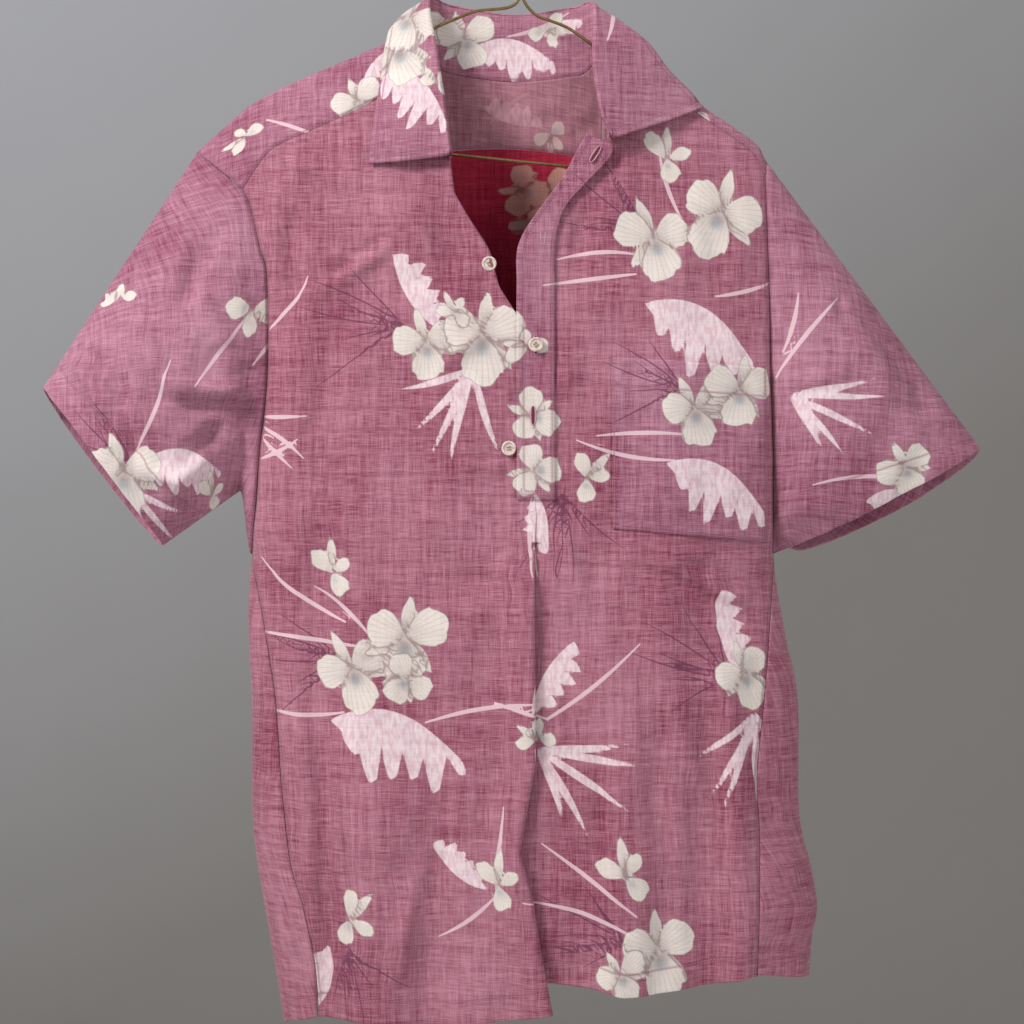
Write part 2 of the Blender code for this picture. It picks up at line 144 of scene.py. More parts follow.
def ripple(x: Array, z: Array, seed: float, wave: float) -> Array:
    """Uneven soft relief made of a few crossed waves.

    Args:
        x, z: places on the cloth.
        seed: moves the waves, so that two uses differ.
        wave: usual distance between two crests.

    Returns:
        Heights from about -1 to 1.
    """
    total = np.zeros_like(x, dtype=float)
    for k in range(5):
        angle = seed * 1.7 + k * GOLDEN_TURN
        size = wave * (0.7 + 0.25 * k)
        along = x * math.cos(angle) + z * math.sin(angle)
        across = x * math.sin(angle) - z * math.cos(angle)
        bent = along + 0.35 * size * np.sin(across / size * 1.9 + seed + k)
        total += np.sin(bent / size * 2 * math.pi + seed * (k + 1)) / (1 + 0.4 * k)
    return total / 2.4


# ---------------------------------------------------------------- form of the shirt


@dataclass
class BodyForm:
    """Surface on which the body's panels lie: tables of its outline, depth, folds and creases."""

    ridge_round: float = 5.0
    ridge_fall: float = 75.0
    square: float = 2.5
    armpit: float = -510.0
    ridge: list[Point] = field(default_factory=lambda: [
        (-254, -197), (-232, -177), (-212, -160), (-194, -150), (-171, -139), (-133, -123), (-105, -111),
        (-85, -103), (62, -113), (99, -135), (140, -161), (179, -188), (189, -203)])
    left: list[Point] = field(default_factory=lambda: [
        (-881, -185), (-848, -190), (-789, -200), (-741, -208), (-696, -211), (-624, -211), (-560, -214),
        (-510, -211), (-467, -206), (-430, -203), (-372, -197), (-297, -197), (-275, -202), (-229, -216),
        (-197, -254)])
    right: list[Point] = field(default_factory=lambda: [
        (-845, 222), (-808, 225), (-783, 229), (-752, 224), (-710, 215), (-622, 214), (-571, 204),
        (-510, 195), (-430, 193), (-372, 191), (-314, 190), (-228, 188), (-203, 189)])
    seam_left: list[Point] = field(default_factory=lambda: [
        (-880, -155), (-824, -158), (-776, -168), (-748, -177), (-695, -184), (-620, -190), (-560, -200),
        (-510, -211)])
    seam_right: list[Point] = field(default_factory=lambda: [
        (-845, 177), (-733, 180), (-680, 178), (-623, 184), (-560, 190), (-510, 195)])
    depth: list[Point] = field(default_factory=lambda: [
        (-881, 62), (-740, 58), (-600, 52), (-500, 46), (-400, 42), (-200, 38)])
    edge: list[Point] = field(default_factory=lambda: [
        (-510, 0.0), (-490, 0.22), (-440, 0.42), (-330, 0.55), (-240, 0.85), (-200, 1.0)])
    # x, half width, height outward, z where it fades out, z where it is full
    folds_front: list[Point] = field(default_factory=lambda: [
        (-120, 42, 9, -560, -800), (-70, 24, -5, -520, -780), (70, 36, 8, -520, -760),
        (128, 30, -6, -540, -760), (-150, 26, -5, -260, -420), (110, 40, 4, -230, -330),
        (-168, 16, 5, -560, -700), (100, 18, -4, -560, -640), (160, 20, 5, -560, -640)])
    folds_back: list[Point] = field(default_factory=lambda: [
        (-135, 36, 10, -420, -760), (-72, 30, -8, -400, -740), (66, 34, 9, -420, -760),
        (136, 34, -7, -400, -740)])
    # creases: x0, z0, x1, z1, sideways bow, half width, height
    creases_front: list[Point] = field(default_factory=lambda: [
        (-174, -314, -90, -262, 6, 6, 2.2), (-150, -300, -100, -270, -4, 5, -1.6),
        (-176, -240, -170, -330, 4, 6, -2.0), (-190, -200, -120, -225, 5, 7, 1.6),
        (-50, -440, -8, -442, 3, 5, 1.8), (-60, -500, -10, -540, 6, 6, -1.6),
        (-45, -540, 0, -600, -5, 6, 1.6), (-20, -505, 20, -560, 4, 6, 1.4),
        (95, -500, 185, -548, 8, 5, 1.8), (88, -520, 180, -575, -7, 5, -1.7),
        (100, -545, 186, -590, 6, 5, 1.6), (90, -500, 150, -510, 5, 4, 1.4),
        (60, -470, 110, -520, -5, 6, -1.5), (-160, -450, -110, -520, 6, 7, 1.4),
        (-180, -520, -120, -560, 5, 6, -1.4), (30, -480, 55, -560, 5, 6, 1.4),
        (-110, -230, -60, -290, -6, 8, 1.6), (60, -230, 40, -300, 6, 8, -1.6),
        (-60, -690, -100, -860, 4, 8, 2.2), (120, -600, 140, -700, 6, 8, 1.8),
        (-140, -640, -150, -800, -5, 8, 2.0), (60, -620, 66, -780, 5, 7, -1.8),
        (-15, -340, -70, -380, 8, 7, 1.5), (30, -350, 60, -420, 6, 7, 1.3)])
    creases_back: list[Point] = field(default_factory=lambda: [
        (-150, -280, -60, -330, 8, 8, 1.8), (60, -300, 150, -340, -6, 8, -1.8),
        (-120, -450, -40, -520, 8, 8, 1.8), (40, -480, 140, -540, 7, 7, 1.8),
        (-160, -560, -80, -620, 6, 8, -1.6), (90, -640, 120, -800, 6, 9, 2.0)])

    def __post_init__(self) -> None:
        """Makes the reading functions of the tables."""
        self.ridge_at = curve(self.ridge)
        self.left_at, self.right_at = curve(self.left), curve(self.right)
        self.seam_left_at, self.seam_right_at = curve(self.seam_left), curve(self.seam_right)
        self.depth_at, self.edge_at = curve(self.depth), curve(self.edge, soft=False)

    def half_depth(self, x: Array, z: Array) -> Array:
        """Distance of the bare surface from the hanger's plane.

        Args:
            x, z: places seen from the front.

        Returns:
            The distance at each place.
        """
        left, right = self.left_at(z), self.right_at(z)
        across = np.clip(np.abs((2 * x - left - right) / (right - left)), 0, 1)
        edge = self.edge_at(z)
        lateral = edge + (1 - edge) * np.maximum(0, 1 - across**self.square) ** (1 / self.square)
        drop = np.maximum(0, self.ridge_at(x) - z)
        near = 1 - np.minimum(1, drop / self.ridge_round)
        deep = self.ridge_round * np.sqrt(1 - near * near)
        deep = deep + (self.depth_at(z) - self.ridge_round) * (1 - np.exp(-drop / self.ridge_fall))
        return deep * lateral

    def relief(self, x: Array, z: Array, side: Side) -> Array:
        """Folds, creases and rumpling of the cloth.

        Args:
            x, z: places seen from the front.
            side: the face of the shirt.

        Returns:
            Height outward at each place.
        """
        front = side is Side.FRONT
        total = np.zeros_like(x, dtype=float)
        for middle, half, height, none, full in self.folds_front if front else self.folds_back:
            share = (x - middle - 6 * np.sin(z / 70)) / half
            wave = np.where(np.abs(share) < 1, np.cos(np.clip(share, -1, 1) * math.pi / 2) ** 2, 0)
            total += height * soft_step((z - none) / (full - none)) * wave
        total += 2.3 * crease_relief(x, z, self.creases_front if front else self.creases_back)
        calm = soft_step((self.ridge_at(x) - z) / 60)
        seed = 1.3 if front else 4.1
        total += calm * (1.5 * ripple(x, z * 0.5, seed, 62) + 0.7 * ripple(x * 0.8, z, seed + 1, 27))
        total += calm * 0.3 * ripple(x, z * 0.7, seed + 5, 15) * (0.6 + 0.4 * ripple(x, z, seed + 9, 90))
        return total

    def point(self, x: Array, z: Array, side: Side, out: Array | float = 0.0) -> Array:
        """Points on the outside of the body.

        Args:
            x, z: places seen from the front.
            side: the face of the shirt.
            out: distance outward from the surface.

        Returns:
            The points, with a last axis of three.
        """
        x, z = np.broadcast_arrays(np.asarray(x, float), np.asarray(z, float))
        deep = self.half_depth(x, z)
        deep = deep + self.relief(x, z, side) * np.clip(deep / 20, 0, 1) + out
        return np.stack([x, side.value * deep, z], axis=-1)


def crease_relief(x: Array, z: Array, creases: Sequence[Point]) -> Array:
    """Soft ridges and troughs along bowed lines.

    Args:
        x, z: places on the cloth.
        creases: x0, z0, x1, z1, sideways bow, half width and height of each.

    Returns:
        Height outward at each place.
    """
    total = np.zeros_like(x, dtype=float)
    for x0, z0, x1, z1, bow, wide, high in creases:
        dx, dz = x1 - x0, z1 - z0
        long = math.hypot(dx, dz)
        along = ((x - x0) * dx + (z - z0) * dz) / long**2
        across = ((x - x0) * dz - (z - z0) * dx) / long - bow * (1 - (2 * along - 1) ** 2)
        ends = soft_step(along / 0.3) * soft_step((1 - along) / 0.3)
        uneven = 0.75 + 0.25 * np.sin(along * 9 + x0)
        total += high * ends * uneven * np.exp(-((across / wide) ** 2))
    return total


# ---------------------------------------------------------------- print


def turned(points: Array, angle: float) -> Array:
    """Points turned about the origin by an angle in degrees."""
    c, s = math.cos(math.radians(angle)), math.sin(math.radians(angle))
    return points @ np.array([[c, s], [-s, c]])


def petal_outline(long: float, wide: float, ruffle: float, seed: float, point: float = 0.55) -> Array:
    """Closed outline of a petal with its root at the origin and its tip along +X.

    Args:
        long, wide: length and greatest width.
        ruffle: depth of the wavy edge.
        seed: changes the waves.
        point: 0.5 gives a round tip, and 1.2 a pointed one.

    Returns:
        The outline's points.
    """
    t = np.linspace(0, 1, 34)
    half = np.sin(math.pi * t ** (0.85 if point > 0.9 else 1.25)) ** point * (0.35 + 0.65 * t ** 0.4)
    x = np.concatenate([t, t[-2:0:-1]])
    y = np.concatenate([half, -half[-2:0:-1]])
    turn = np.linspace(0, 2 * math.pi, len(x))
    waves = np.sin(8 * turn + seed) + 0.6 * np.sin(15 * turn + 2 * seed) + 0.4 * np.sin(4 * turn)
    wavy = 1 + ruffle * x * waves
    return np.stack([x * long * wavy, y * wide / 2 * wavy], axis=1)


def torn_outline(seed: float) -> Array:
    """Outline of a banana leaf torn along one side, one unit long.

    Args:
        seed: changes the flaps.

    Returns:
        The outline's points.
    """
    x = np.linspace(0, 1, 14)
    upper = np.stack([x, 0.2 * np.sin(math.pi * x**0.9) - 0.10 * x], axis=1)
    lower = []
    flaps = 6
    for k in range(flaps):
        a = 0.97 - 0.155 * k
        wide = 0.10 + 0.24 * math.sin(math.pi * min(1.0, 0.1 + 0.95 * (1 - a))) ** 0.8
        wide *= 1 + 0.22 * math.sin(seed * 1.3 + 2.1 * k)
        lean = 0.05 + 0.02 * math.sin(seed + k)
        lower += [(a + 0.02 + lean, -wide * 0.93), (a + lean - 0.03, -wide * 1.05), (a - 0.055, -0.62 * wide),
                  (a - 0.085, -0.04 - 0.1 * wide)]
    return np.vstack([upper, np.array(lower)])


def leaf_outline(seed: float) -> Array:
    """Outline of a notched leaf, one unit long.

    Args:
        seed: changes the notches.

    Returns:
        The outline's points.
    """
    x = np.linspace(0, 1, 12)
    upper = np.stack([x, 0.13 * np.sin(math.pi * x**0.9) ** 0.8], axis=1)
    lower = []
    for k in range(5):
        a = 0.86 - 0.165 * k
        wide = 0.05 + 0.21 * math.sin(math.pi * (1 - a)) ** 0.8
        wide *= 1 + 0.15 * math.sin(seed + k * 1.9)
        notch = [(0.10, -0.55), (0.03, -1.0), (-0.035, -0.5), (-0.05, -0.12)]
        lower += [(a + forward, share * wide) for forward, share in notch]
    return np.vstack([upper, np.array(lower)])


def blade_outline(long: float, wide: float, bow: float) -> Array:
    """Outline of a narrow pointed blade along +X.

    Args:
        long, wide: length and greatest width.
        bow: how far its middle line bends aside.

    Returns:
        The outline's points.
    """
    x = np.linspace(0, 1, 12)
    middle = bow * np.sin(math.pi * x * 0.6)
    half = wide / 2 * np.sin(math.pi * x**0.75) ** 0.9
    top = np.stack([x * long, middle + half], axis=1)
    low = np.stack([x * long, middle - half], axis=1)
    return np.vstack([top, low[-2:0:-1]])


def inside_distance(points: Array, outline: Array) -> Array:
    """Signed distance to a closed outline.

    Args:
        points: places as rows of two.
        outline: the outline's points.

    Returns:
        Distances, positive inside.
    """
    a, b = outline, np.roll(outline, -1, axis=0)
    best = np.full(len(points), 1e9)
    inside = np.zeros(len(points), bool)
    for p, q in zip(a, b):
        d = q - p
        w = points - p
        t = np.clip(w @ d / max(float(d @ d), 1e-9), 0, 1)
        best = np.minimum(best, ((w - t[:, None] * d) ** 2).sum(1))
        crosses = (p[1] > points[:, 1]) != (q[1] > points[:, 1])
        if crosses.any() and d[1] != 0:
            inside ^= crosses & (points[:, 0] < p[0] + (points[:, 1] - p[1]) * d[0] / d[1])
    return np.where(inside, 1, -1) * np.sqrt(best)


def line_distance(points: Array, line: Array) -> tuple[Array, Array, Array]:
    """Where points lie beside an open line.

    Args:
        points: places as rows of two.
        line: the line's points.

    Returns:
        The signed sideways distance, the plain distance, and the share of the way along.
    """
    best = np.full(len(points), 1e9)
    side = np.zeros(len(points))
    share = np.zeros(len(points))
    for k, (p, q) in enumerate(zip(line, line[1:])):
        d = q - p
        w = points - p
        t = np.clip(w @ d / float(d @ d), 0, 1)
        far = np.sqrt(((w - t[:, None] * d) ** 2).sum(1))
        cross = (w[:, 0] * d[1] - w[:, 1] * d[0]) / math.sqrt(float(d @ d))
        near = far < best
        best, side = np.where(near, far, best), np.where(near, cross, side)
        share = np.where(near, (k + t) / (len(line) - 1), share)
    return side, best, share


@dataclass
class Print:
    """Orchids, torn leaves, fans, stems and dark sprays laid over a panel."""

    placed: Sequence[Placed]
    growth: dict[Motif, float] = field(default_factory=lambda: {
        Motif.ORCHID: 1.2, Motif.BUD: 1.25, Motif.TORN: 1.12, Motif.LEAF: 1.15, Motif.FAN: 1.3,
        Motif.STEM: 1.15, Motif.HAIR: 1.35})
    # angle, length, width, ruffle and roundness of each petal, from the back one to the front one
    orchid: list[Point] = field(default_factory=lambda: [
        (96, 1.12, 0.42, 0.02, 1.1), (222, 1.05, 0.42, 0.02, 1.1), (-42, 1.05, 0.42, 0.02, 1.1),
        (162, 1.0, 1.05, 0.035, 0.5), (18, 1.0, 1.05, 0.035, 0.5), (-88, 1.12, 1.15, 0.05, 0.45)])
    bud: list[Point] = field(default_factory=lambda: [
        (70, 1.15, 0.4, 0.02, 1.1), (118, 0.95, 0.62, 0.04, 0.6), (20, 0.8, 0.5, 0.03, 0.8),
        (-75, 0.75, 0.72, 0.05, 0.5)])

    def fields(self, u: Array, v: Array) -> dict[str, Array]:
        """Values that the cloth's material turns into the print.

        Args:
            u, v: places on the cloth.

        Returns:
            Arrays: petal and leaf (distance inside them), shade, throat and ray (shading, blue
            middle and veins of the petals), rim (signed distance from a petal's edge), stem and hair
            (sideways distance from the nearest line), and rim_far, stem_far and hair_far (plain
            distance).
        """
        shape = u.shape
        p = np.stack([u.ravel(), v.ravel()], axis=1)
        n = len(p)
        out = {key: np.full(n, -FAR) for key in ("petal", "leaf")}
        out |= {key: np.zeros(n) for key in ("shade", "throat", "ray")}
        out |= {key: np.full(n, FAR) for key in ("rim", "rim_far", "stem", "stem_far", "hair", "hair_far")}
        for index, (kind, x, z, size, angle) in enumerate(self.placed):
            size *= self.growth[kind]
            near = np.flatnonzero(np.abs(p - (x, z)).max(1) < size * 1.25 + 6)
            if not len(near):
                continue
            local = turned(p[near] - (x, z), -angle)
            seed = 1.7 * index + x * 0.01
            if kind in (Motif.ORCHID, Motif.BUD):
                self._flower(out, near, local, size, seed, kind is Motif.BUD)
            elif kind in (Motif.STEM, Motif.HAIR):
                self._lines(out, near, local, size, seed, kind)
            else:
                self._foliage(out, near, local, size, seed, kind)
        return {key: value.reshape(shape) for key, value in out.items()}

    def _flower(
        self, out: dict[str, Array], near: Array, local: Array, size: float, seed: float, bud: bool
    ) -> None:
        """Adds an orchid or its bud: petals from back to front with shading under each next one.

        Args:
            out: the values so far.
            near: indices of the places close to the motif.
            local: those places seen from the motif.
            size: length of a usual petal.
            seed: changes the petals.
            bud: whether it is a bud.
        """
        petals = self.bud if bud else self.orchid
        for k, (angle, long, wide, ruffle, tip) in enumerate(petals):
            angle += 10 * math.sin(seed * 1.9 + k)
            long *= 1 + 0.08 * math.sin(seed + 2.3 * k)
            outline = turned(petal_outline(long * size, wide * size, ruffle, seed + k, tip), angle)
            d = inside_distance(local, outline)
            own = turned(local, -angle)
            along = np.clip(own[:, 0] / (long * size), 0, 1)
            across = own[:, 1] / (wide * size / 2)
            veins = 0.5 + 0.5 * np.sin(across * 11 / (0.35 + along) + seed)
            tone = 0.3 * (1 - along) ** 1.6 + 0.12 * veins * (1 - 0.6 * along)
            if k == len(petals) - 1 and not bud:
                tone = tone + 0.75 * np.exp(-(((along - 0.2) / 0.13) ** 2) - (across / 0.3) ** 2)
            throat = 0 * along
            if k == len(petals) - 1:
                throat = np.exp(-(((along - 0.3) / 0.1) ** 2) - (across / 0.22) ** 2)
            over, rim = d > 0, out["rim"][near]
            out["throat"][near] = np.where(over, throat, out["throat"][near])
            out["ray"][near] = np.where(over, across * 5 / (0.45 + along), out["ray"][near])
            rim = np.where(over | (np.abs(d) < np.abs(rim)), d, rim)
            out["rim"][near], out["rim_far"][near] = np.clip(rim, -FAR, FAR), np.abs(rim)
            under = np.exp(-np.maximum(-d, 0) / (0.07 * size)) * 0.6 * (d < 0)
            shade = out["shade"][near]
            out["shade"][near] = np.where(over, tone, shade + under * (out["petal"][near] > 0))
            out["petal"][near] = np.maximum(out["petal"][near], d)

    def _foliage(
        self, out: dict[str, Array], near: Array, local: Array, size: float, seed: float, kind: Motif
    ) -> None:
        """Adds a torn leaf, a notched leaf or a fan of blades.

        Args:
            out: the values so far.
            near: indices of the places close to the motif.
            local: those places seen from the motif.
            size: its length.
            seed: changes its shape.
            kind: which of the three it is.
        """
        if kind is Motif.FAN:
            count = 5
            for k in range(count):
                angle = -48 + 96 * k / (count - 1) + 6 * math.sin(seed + 2 * k)
                middle = 0.3 * math.sin(math.pi * (k + 0.5) / count)
                long = size * (0.7 + middle + 0.08 * math.sin(seed * 2 + k))
                bow = 0.09 * size * math.cos(math.pi * k / (count - 1))
                d = inside_distance(turned(local, -angle), blade_outline(long, 0.072 * size, bow))
                out["leaf"][near] = np.maximum(out["leaf"][near], d)
            return
        outline = (torn_outline(seed) if kind is Motif.TORN else leaf_outline(seed)) * size
        out["leaf"][near] = np.maximum(out["leaf"][near], inside_distance(local, outline))

    def _lines(
        self, out: dict[str, Array], near: Array, local: Array, size: float, seed: float, kind: Motif
    ) -> None:
        """Adds one curved stem or a spray of thin dark lines.

        Args:
            out: the values so far.
            near: indices of the places close to the motif.
            local: those places seen from the motif.
            size: length of the longest line.
            seed: changes the lines.
            kind: which of the two it is.
        """
        key = kind.value
        count = 1 if kind is Motif.STEM else 8
        for k in range(count):
            t = np.linspace(0, 1, 12)
            bow = 0.22 * math.sin(seed) if count == 1 else 0.16 * math.sin(seed + k * 1.3)
            angle = 0 if count == 1 else -38 + 76 * k / (count - 1)
            long = size * (1 if count == 1 else 0.75 + 0.25 * math.sin(seed + 2 * k))
            line = turned(np.stack([t * long, bow * size * t * t], axis=1), angle)
            side, far, share = line_distance(local, line)
            thin = 0.35 + 0.85 * np.sin(math.pi * np.clip(share * 0.9 + 0.08, 0, 1))
            closer = far < out[key + "_far"][near]
            out[key][near] = np.where(closer, side / thin, out[key][near])
            out[key + "_far"][near] = np.where(closer, far, out[key + "_far"][near])


ORCHID, BUD, TORN, LEAF, FAN, STEM, HAIR = Motif
# motif, x, z, size and turn in degrees, from the lowest layer of the print to the highest
FRONT_PRINT: list[Placed] = [
    (ORCHID, 100, -268, 25, 8), (ORCHID, 153, -246, 27, -18), (BUD, 110, -206, 21, 10),
    (TORN, 92, -318, 86, -22), (STEM, 82, -280, 46, 172), (STEM, 84, -296, 58, 186),
    (STEM, 120, -250, 46, 118), (STEM, 150, -312, 40, 6), (HAIR, 92, -262, 52, 150),
    (ORCHID, 130, -398, 22, 20), (ORCHID, 166, -384, 23, -10), (TORN, 108, -440, 76, -20),
    (STEM, 118, -418, 52, 176), (STEM, 112, -438, 60, 180), (HAIR, 122, -384, 46, 164),
    (LEAF, -60, -340, 62, 124), (ORCHID, -74, -348, 21, 12), (ORCHID, -31, -342, 27, -6),
    (FAN, -38, -368, 62, 242), (HAIR, -90, -336, 60, 172), (BUD, -52, -326, 14, 40),
    (ORCHID, 6, -404, 17, 70), (ORCHID, 8, -446, 17, 84), (BUD, 48, -452, 19, -20),
    (LEAF, 8, -462, 42, -80), (HAIR, 30, -462, 56, -92), (BUD, 4, -352, 16, 92),
    (STEM, 6, -470, 46, 262), (ORCHID, -131, -596, 24, 26), (ORCHID, -90, -572, 27, -8),
    (ORCHID, -88, -604, 17, -40), (BUD, -148, -524, 20, 24), (TORN, -150, -636, 96, -10),
    (STEM, -138, -560, 70, 158), (STEM, -122, -580, 78, 172), (STEM, -118, -570, 46, 128),
    (STEM, -72, -636, 74, 18), (STEM, -140, -630, 52, 190), (HAIR, -138, -590, 54, 180),
    (STEM, -20, -622, 34, -16), (LEAF, 8, -632, 56, 62), (STEM, 8, -640, 86, 30),
    (FAN, 10, -656, 66, -34), (BUD, 12, -648, 15, 70), (LEAF, 168, -604, 60, 104),
    (ORCHID, 170, -600, 20, 20), (HAIR, 160, -604, 62, 158), (FAN, 182, -630, 60, -104),
    (LEAF, -26, -762, 48, 142), (BUD, -18, -758, 20, 6), (STEM, -20, -766, 56, 84),
    (STEM, -22, -768, 42, 228), (BUD, 78, -752, 22, 30), (ORCHID, 104, -808, 26, 4),
    (ORCHID, 74, -824, 17, 30), (STEM, 84, -780, 74, 142), (STEM, 82, -796, 70, 150),
    (HAIR, 80, -800, 58, 172), (BUD, -138, -786, 22, -30), (TORN, -160, -806, 50, -96),
    (HAIR, -140, -806, 44, -70), (STEM, -196, -336, 40, 40), (STEM, -204, -404, 30, -4),
    (STEM, -204, -412, 34, -22), (STEM, -204, -420, 28, -42), (STEM, -204, -436, 26, 12),
]
BACK_PRINT: list[Placed] = [
    (ORCHID, -110, -300, 26, 12), (ORCHID, -66, -286, 24, -20), (TORN, -120, -340, 90, -16),
    (STEM, -100, -320, 60, 170), (HAIR, -100, -296, 56, 150), (LEAF, 70, -330, 60, 120),
    (ORCHID, 92, -340, 24, 0), (FAN, 88, -366, 62, -110), (BUD, 20, -262, 20, 30),
    (ORCHID, 10, -470, 26, 10), (BUD, 40, -440, 18, -10), (TORN, 0, -500, 84, -30),
    (STEM, 0, -490, 64, 176), (HAIR, 4, -474, 56, 160), (ORCHID, -130, -560, 26, 20),
    (ORCHID, -88, -548, 24, -10), (TORN, -140, -600, 90, -14), (STEM, -120, -590, 70, 160),
    (ORCHID, 120, -600, 26, 14), (LEAF, 110, -590, 62, 100), (FAN, 116, -630, 62, -70),
    (BUD, -20, -680, 22, 10), (LEAF, -30, -690, 54, 140), (STEM, -24, -700, 60, 70),
    (ORCHID, 50, -790, 26, 6), (TORN, 30, -820, 80, -12), (ORCHID, -130, -760, 24, -8),
    (HAIR, -136, -770, 56, 168), (BUD, 150, -740, 20, 20), (ORCHID, -172, -826, 22, 40),
    (TORN, 196, -600, 60, -80), (FAN, -180, -640, 44, -84), (ORCHID, 200, -700, 20, 30),
    (ORCHID, -20, -168, 22, 180), (TORN, -40, -168, 60, 10), (STEM, -70, -150, 60, -8),
    (ORCHID, 30, -230, 20, 60), (ORCHID, 0, -222, 17, 84), (BUD, 2, -246, 15, -80),
]
SLEEVE_LEFT_PRINT: list[Placed] = [
    (ORCHID, -306, -446, 25, 8), (TORN, -292, -440, 64, 0), (FAN, -300, -460, 52, -70),
    (STEM, -296, -430, 60, 58), (BUD, -212, -322, 22, -100), (STEM, -216, -330, 52, 236),
    (BUD, -226, -468, 17, 30), (STEM, -204, -362, 26, 60), (BUD, -306, -302, 14, 60),
    (ORCHID, -330, -470, 16, -40), (HAIR, -300, -440, 44, 150),
]
SLEEVE_RIGHT_PRINT: list[Placed] = [
    (FAN, 204, -388, 56, -24), (STEM, 196, -372, 62, 62), (ORCHID, 292, -442, 19, 30),
    (STEM, 286, -450, 50, 176), (STEM, 200, -352, 36, 70), (TORN, 262, -470, 40, 10),
]
YOKE_PRINT: list[Placed] = [
    (ORCHID, -128, -160, 18, 20), (STEM, -130, -172, 40, 232), (BUD, -214, -180, 15, 120),
    (STEM, -196, -170, 40, -26), (LEAF, -124, -150, 34, 60), (BUD, 128, -172, 20, 60),
    (TORN, -30, -172, 66, 18), (ORCHID, -66, -176, 17, 12), (STEM, -50, -170, 44, 160),
    (FAN, 20, -160, 44, 20), (STEM, 92, -160, 44, 40), (LEAF, -34, -54, 44, 12),
    (STEM, -30, -44, 46, -8), (BUD, 22, -40, 15, 30), (STEM, 2, -66, 30, 150),
]
COLLAR_PRINT: list[Placed] = [
    (ORCHID, -98, -120, 25, 24), (ORCHID, -88, -92, 24, -30), (TORN, -112, -136, 62, -34),
    (ORCHID, -46, -104, 20, 10), (TORN, -40, -112, 58, -4), (STEM, -10, -102, 40, 10),
    (BUD, 18, -98, 16, -80), (LEAF, 10, -100, 34, 14), (STEM, 66, -110, 30, 70),
    (BUD, -66, -150, 13, 50),
]


# ---------------------------------------------------------------- finishes


class Shader:
    """Short way of building a node material round one Principled shader."""

    def __init__(self, name: str, rough: float) -> None:
        """Starts a material.

        Args:
            name: name of the material.
            rough: roughness where no node drives it.
        """
        self.made = bpy.data.materials.new(name)
        self.made.use_nodes = True
        self.nodes, self.links = self.made.node_tree.nodes, self.made.node_tree.links
        self.main = self.nodes["Principled BSDF"]
        self.main.inputs["Roughness"].default_value = rough

    def put(self, socket: Socket, value: object) -> None:
        """Links a socket to an output, or sets its value.

        Args:
            socket: the input.
            value: an output, a number or a colour.
        """
        if isinstance(value, Socket):
            self.links.new(value, socket)
        else:
            socket.default_value = value

    def math(self, kind: str, *values: object, clamp: bool = False) -> Socket:
        """One step of arithmetic.

        Args:
            kind: the operation's name.
            values: outputs or numbers.
            clamp: whether to keep the result from 0 to 1.

        Returns:
            The result's socket.
        """
        node = self.nodes.new("ShaderNodeMath")
        node.operation, node.use_clamp = kind, clamp
        for socket, value in zip(node.inputs, values):
            self.put(socket, value)
        return node.outputs[0]

    def read(self, name: str, output: str = "Fac") -> Socket:
        """Output of a named attribute of the mesh.

        Args:
            name: the attribute.
            output: which of its outputs.

        Returns:
            The output's socket.
        """
        node = self.nodes.new("ShaderNodeAttribute")
        node.attribute_name = name
        return node.outputs[output]

    def stretch(self, vector: Socket, scale: Point) -> Socket:
        """Coordinates multiplied by three factors.

        Args:
            vector: the coordinates.
            scale: the factors.

        Returns:
            The result's socket.
        """
        node = self.nodes.new("ShaderNodeVectorMath")
        node.operation = "MULTIPLY"
        self.put(node.inputs[0], vector)
        node.inputs[1].default_value = scale
        return node.outputs[0]

    def noise(self, vector: Socket, scale: Point, detail: float = 2.0) -> Socket:
        """Noise with its own scale along each axis.

        Args:
            vector: the coordinates.
            scale: waves for one unit along each axis.
            detail: how many finer waves are added.

        Returns:
            The value's socket.
        """
        node = self.nodes.new("ShaderNodeTexNoise")
        node.inputs["Scale"].default_value = 1.0
        node.inputs["Detail"].default_value = detail
        self.put(node.inputs["Vector"], self.stretch(vector, scale))
        return node.outputs["Fac"]

    def span(
        self, value: object, low: float, high: float, to_low: float = 0, to_high: float = 1
    ) -> Socket:
        """Value carried from one range to another and kept in it.

        Args:
            value: the value.
            low, high: ends of its range.
            to_low, to_high: ends of the new range.

        Returns:
            The result's socket.
        """
        node = self.nodes.new("ShaderNodeMapRange")
        for socket, item in zip(node.inputs, (value, low, high, to_low, to_high)):
            self.put(socket, item)
        return node.outputs[0]

    def mix(self, share: object, first: object, second: object, kind: str = "MIX") -> Socket:
        """Mixture of two colours.

        Args:
            share: how much of the second one shows.
            first, second: the colours.
            kind: the way of mixing.

        Returns:
            The result's socket.
        """
        node = self.nodes.new("ShaderNodeMix")
        node.data_type, node.blend_type = "RGBA", kind
        for index, item in ((0, share), (6, first), (7, second)):
            self.put(node.inputs[index], item)
        return node.outputs[2]

    def bump(self, height: object, strength: float, distance: float) -> None:
        """Gives the shader a relief.

        Args:
            height: the relief's value.
            strength: its strength from 0 to 1.
            distance: what one unit of height means, in metres.
        """
        node = self.nodes.new("ShaderNodeBump")
        node.inputs["Strength"].default_value = strength
        node.inputs["Distance"].default_value = distance
        self.put(node.inputs["Height"], height)
        self.links.new(node.outputs[0], self.main.inputs["Normal"])


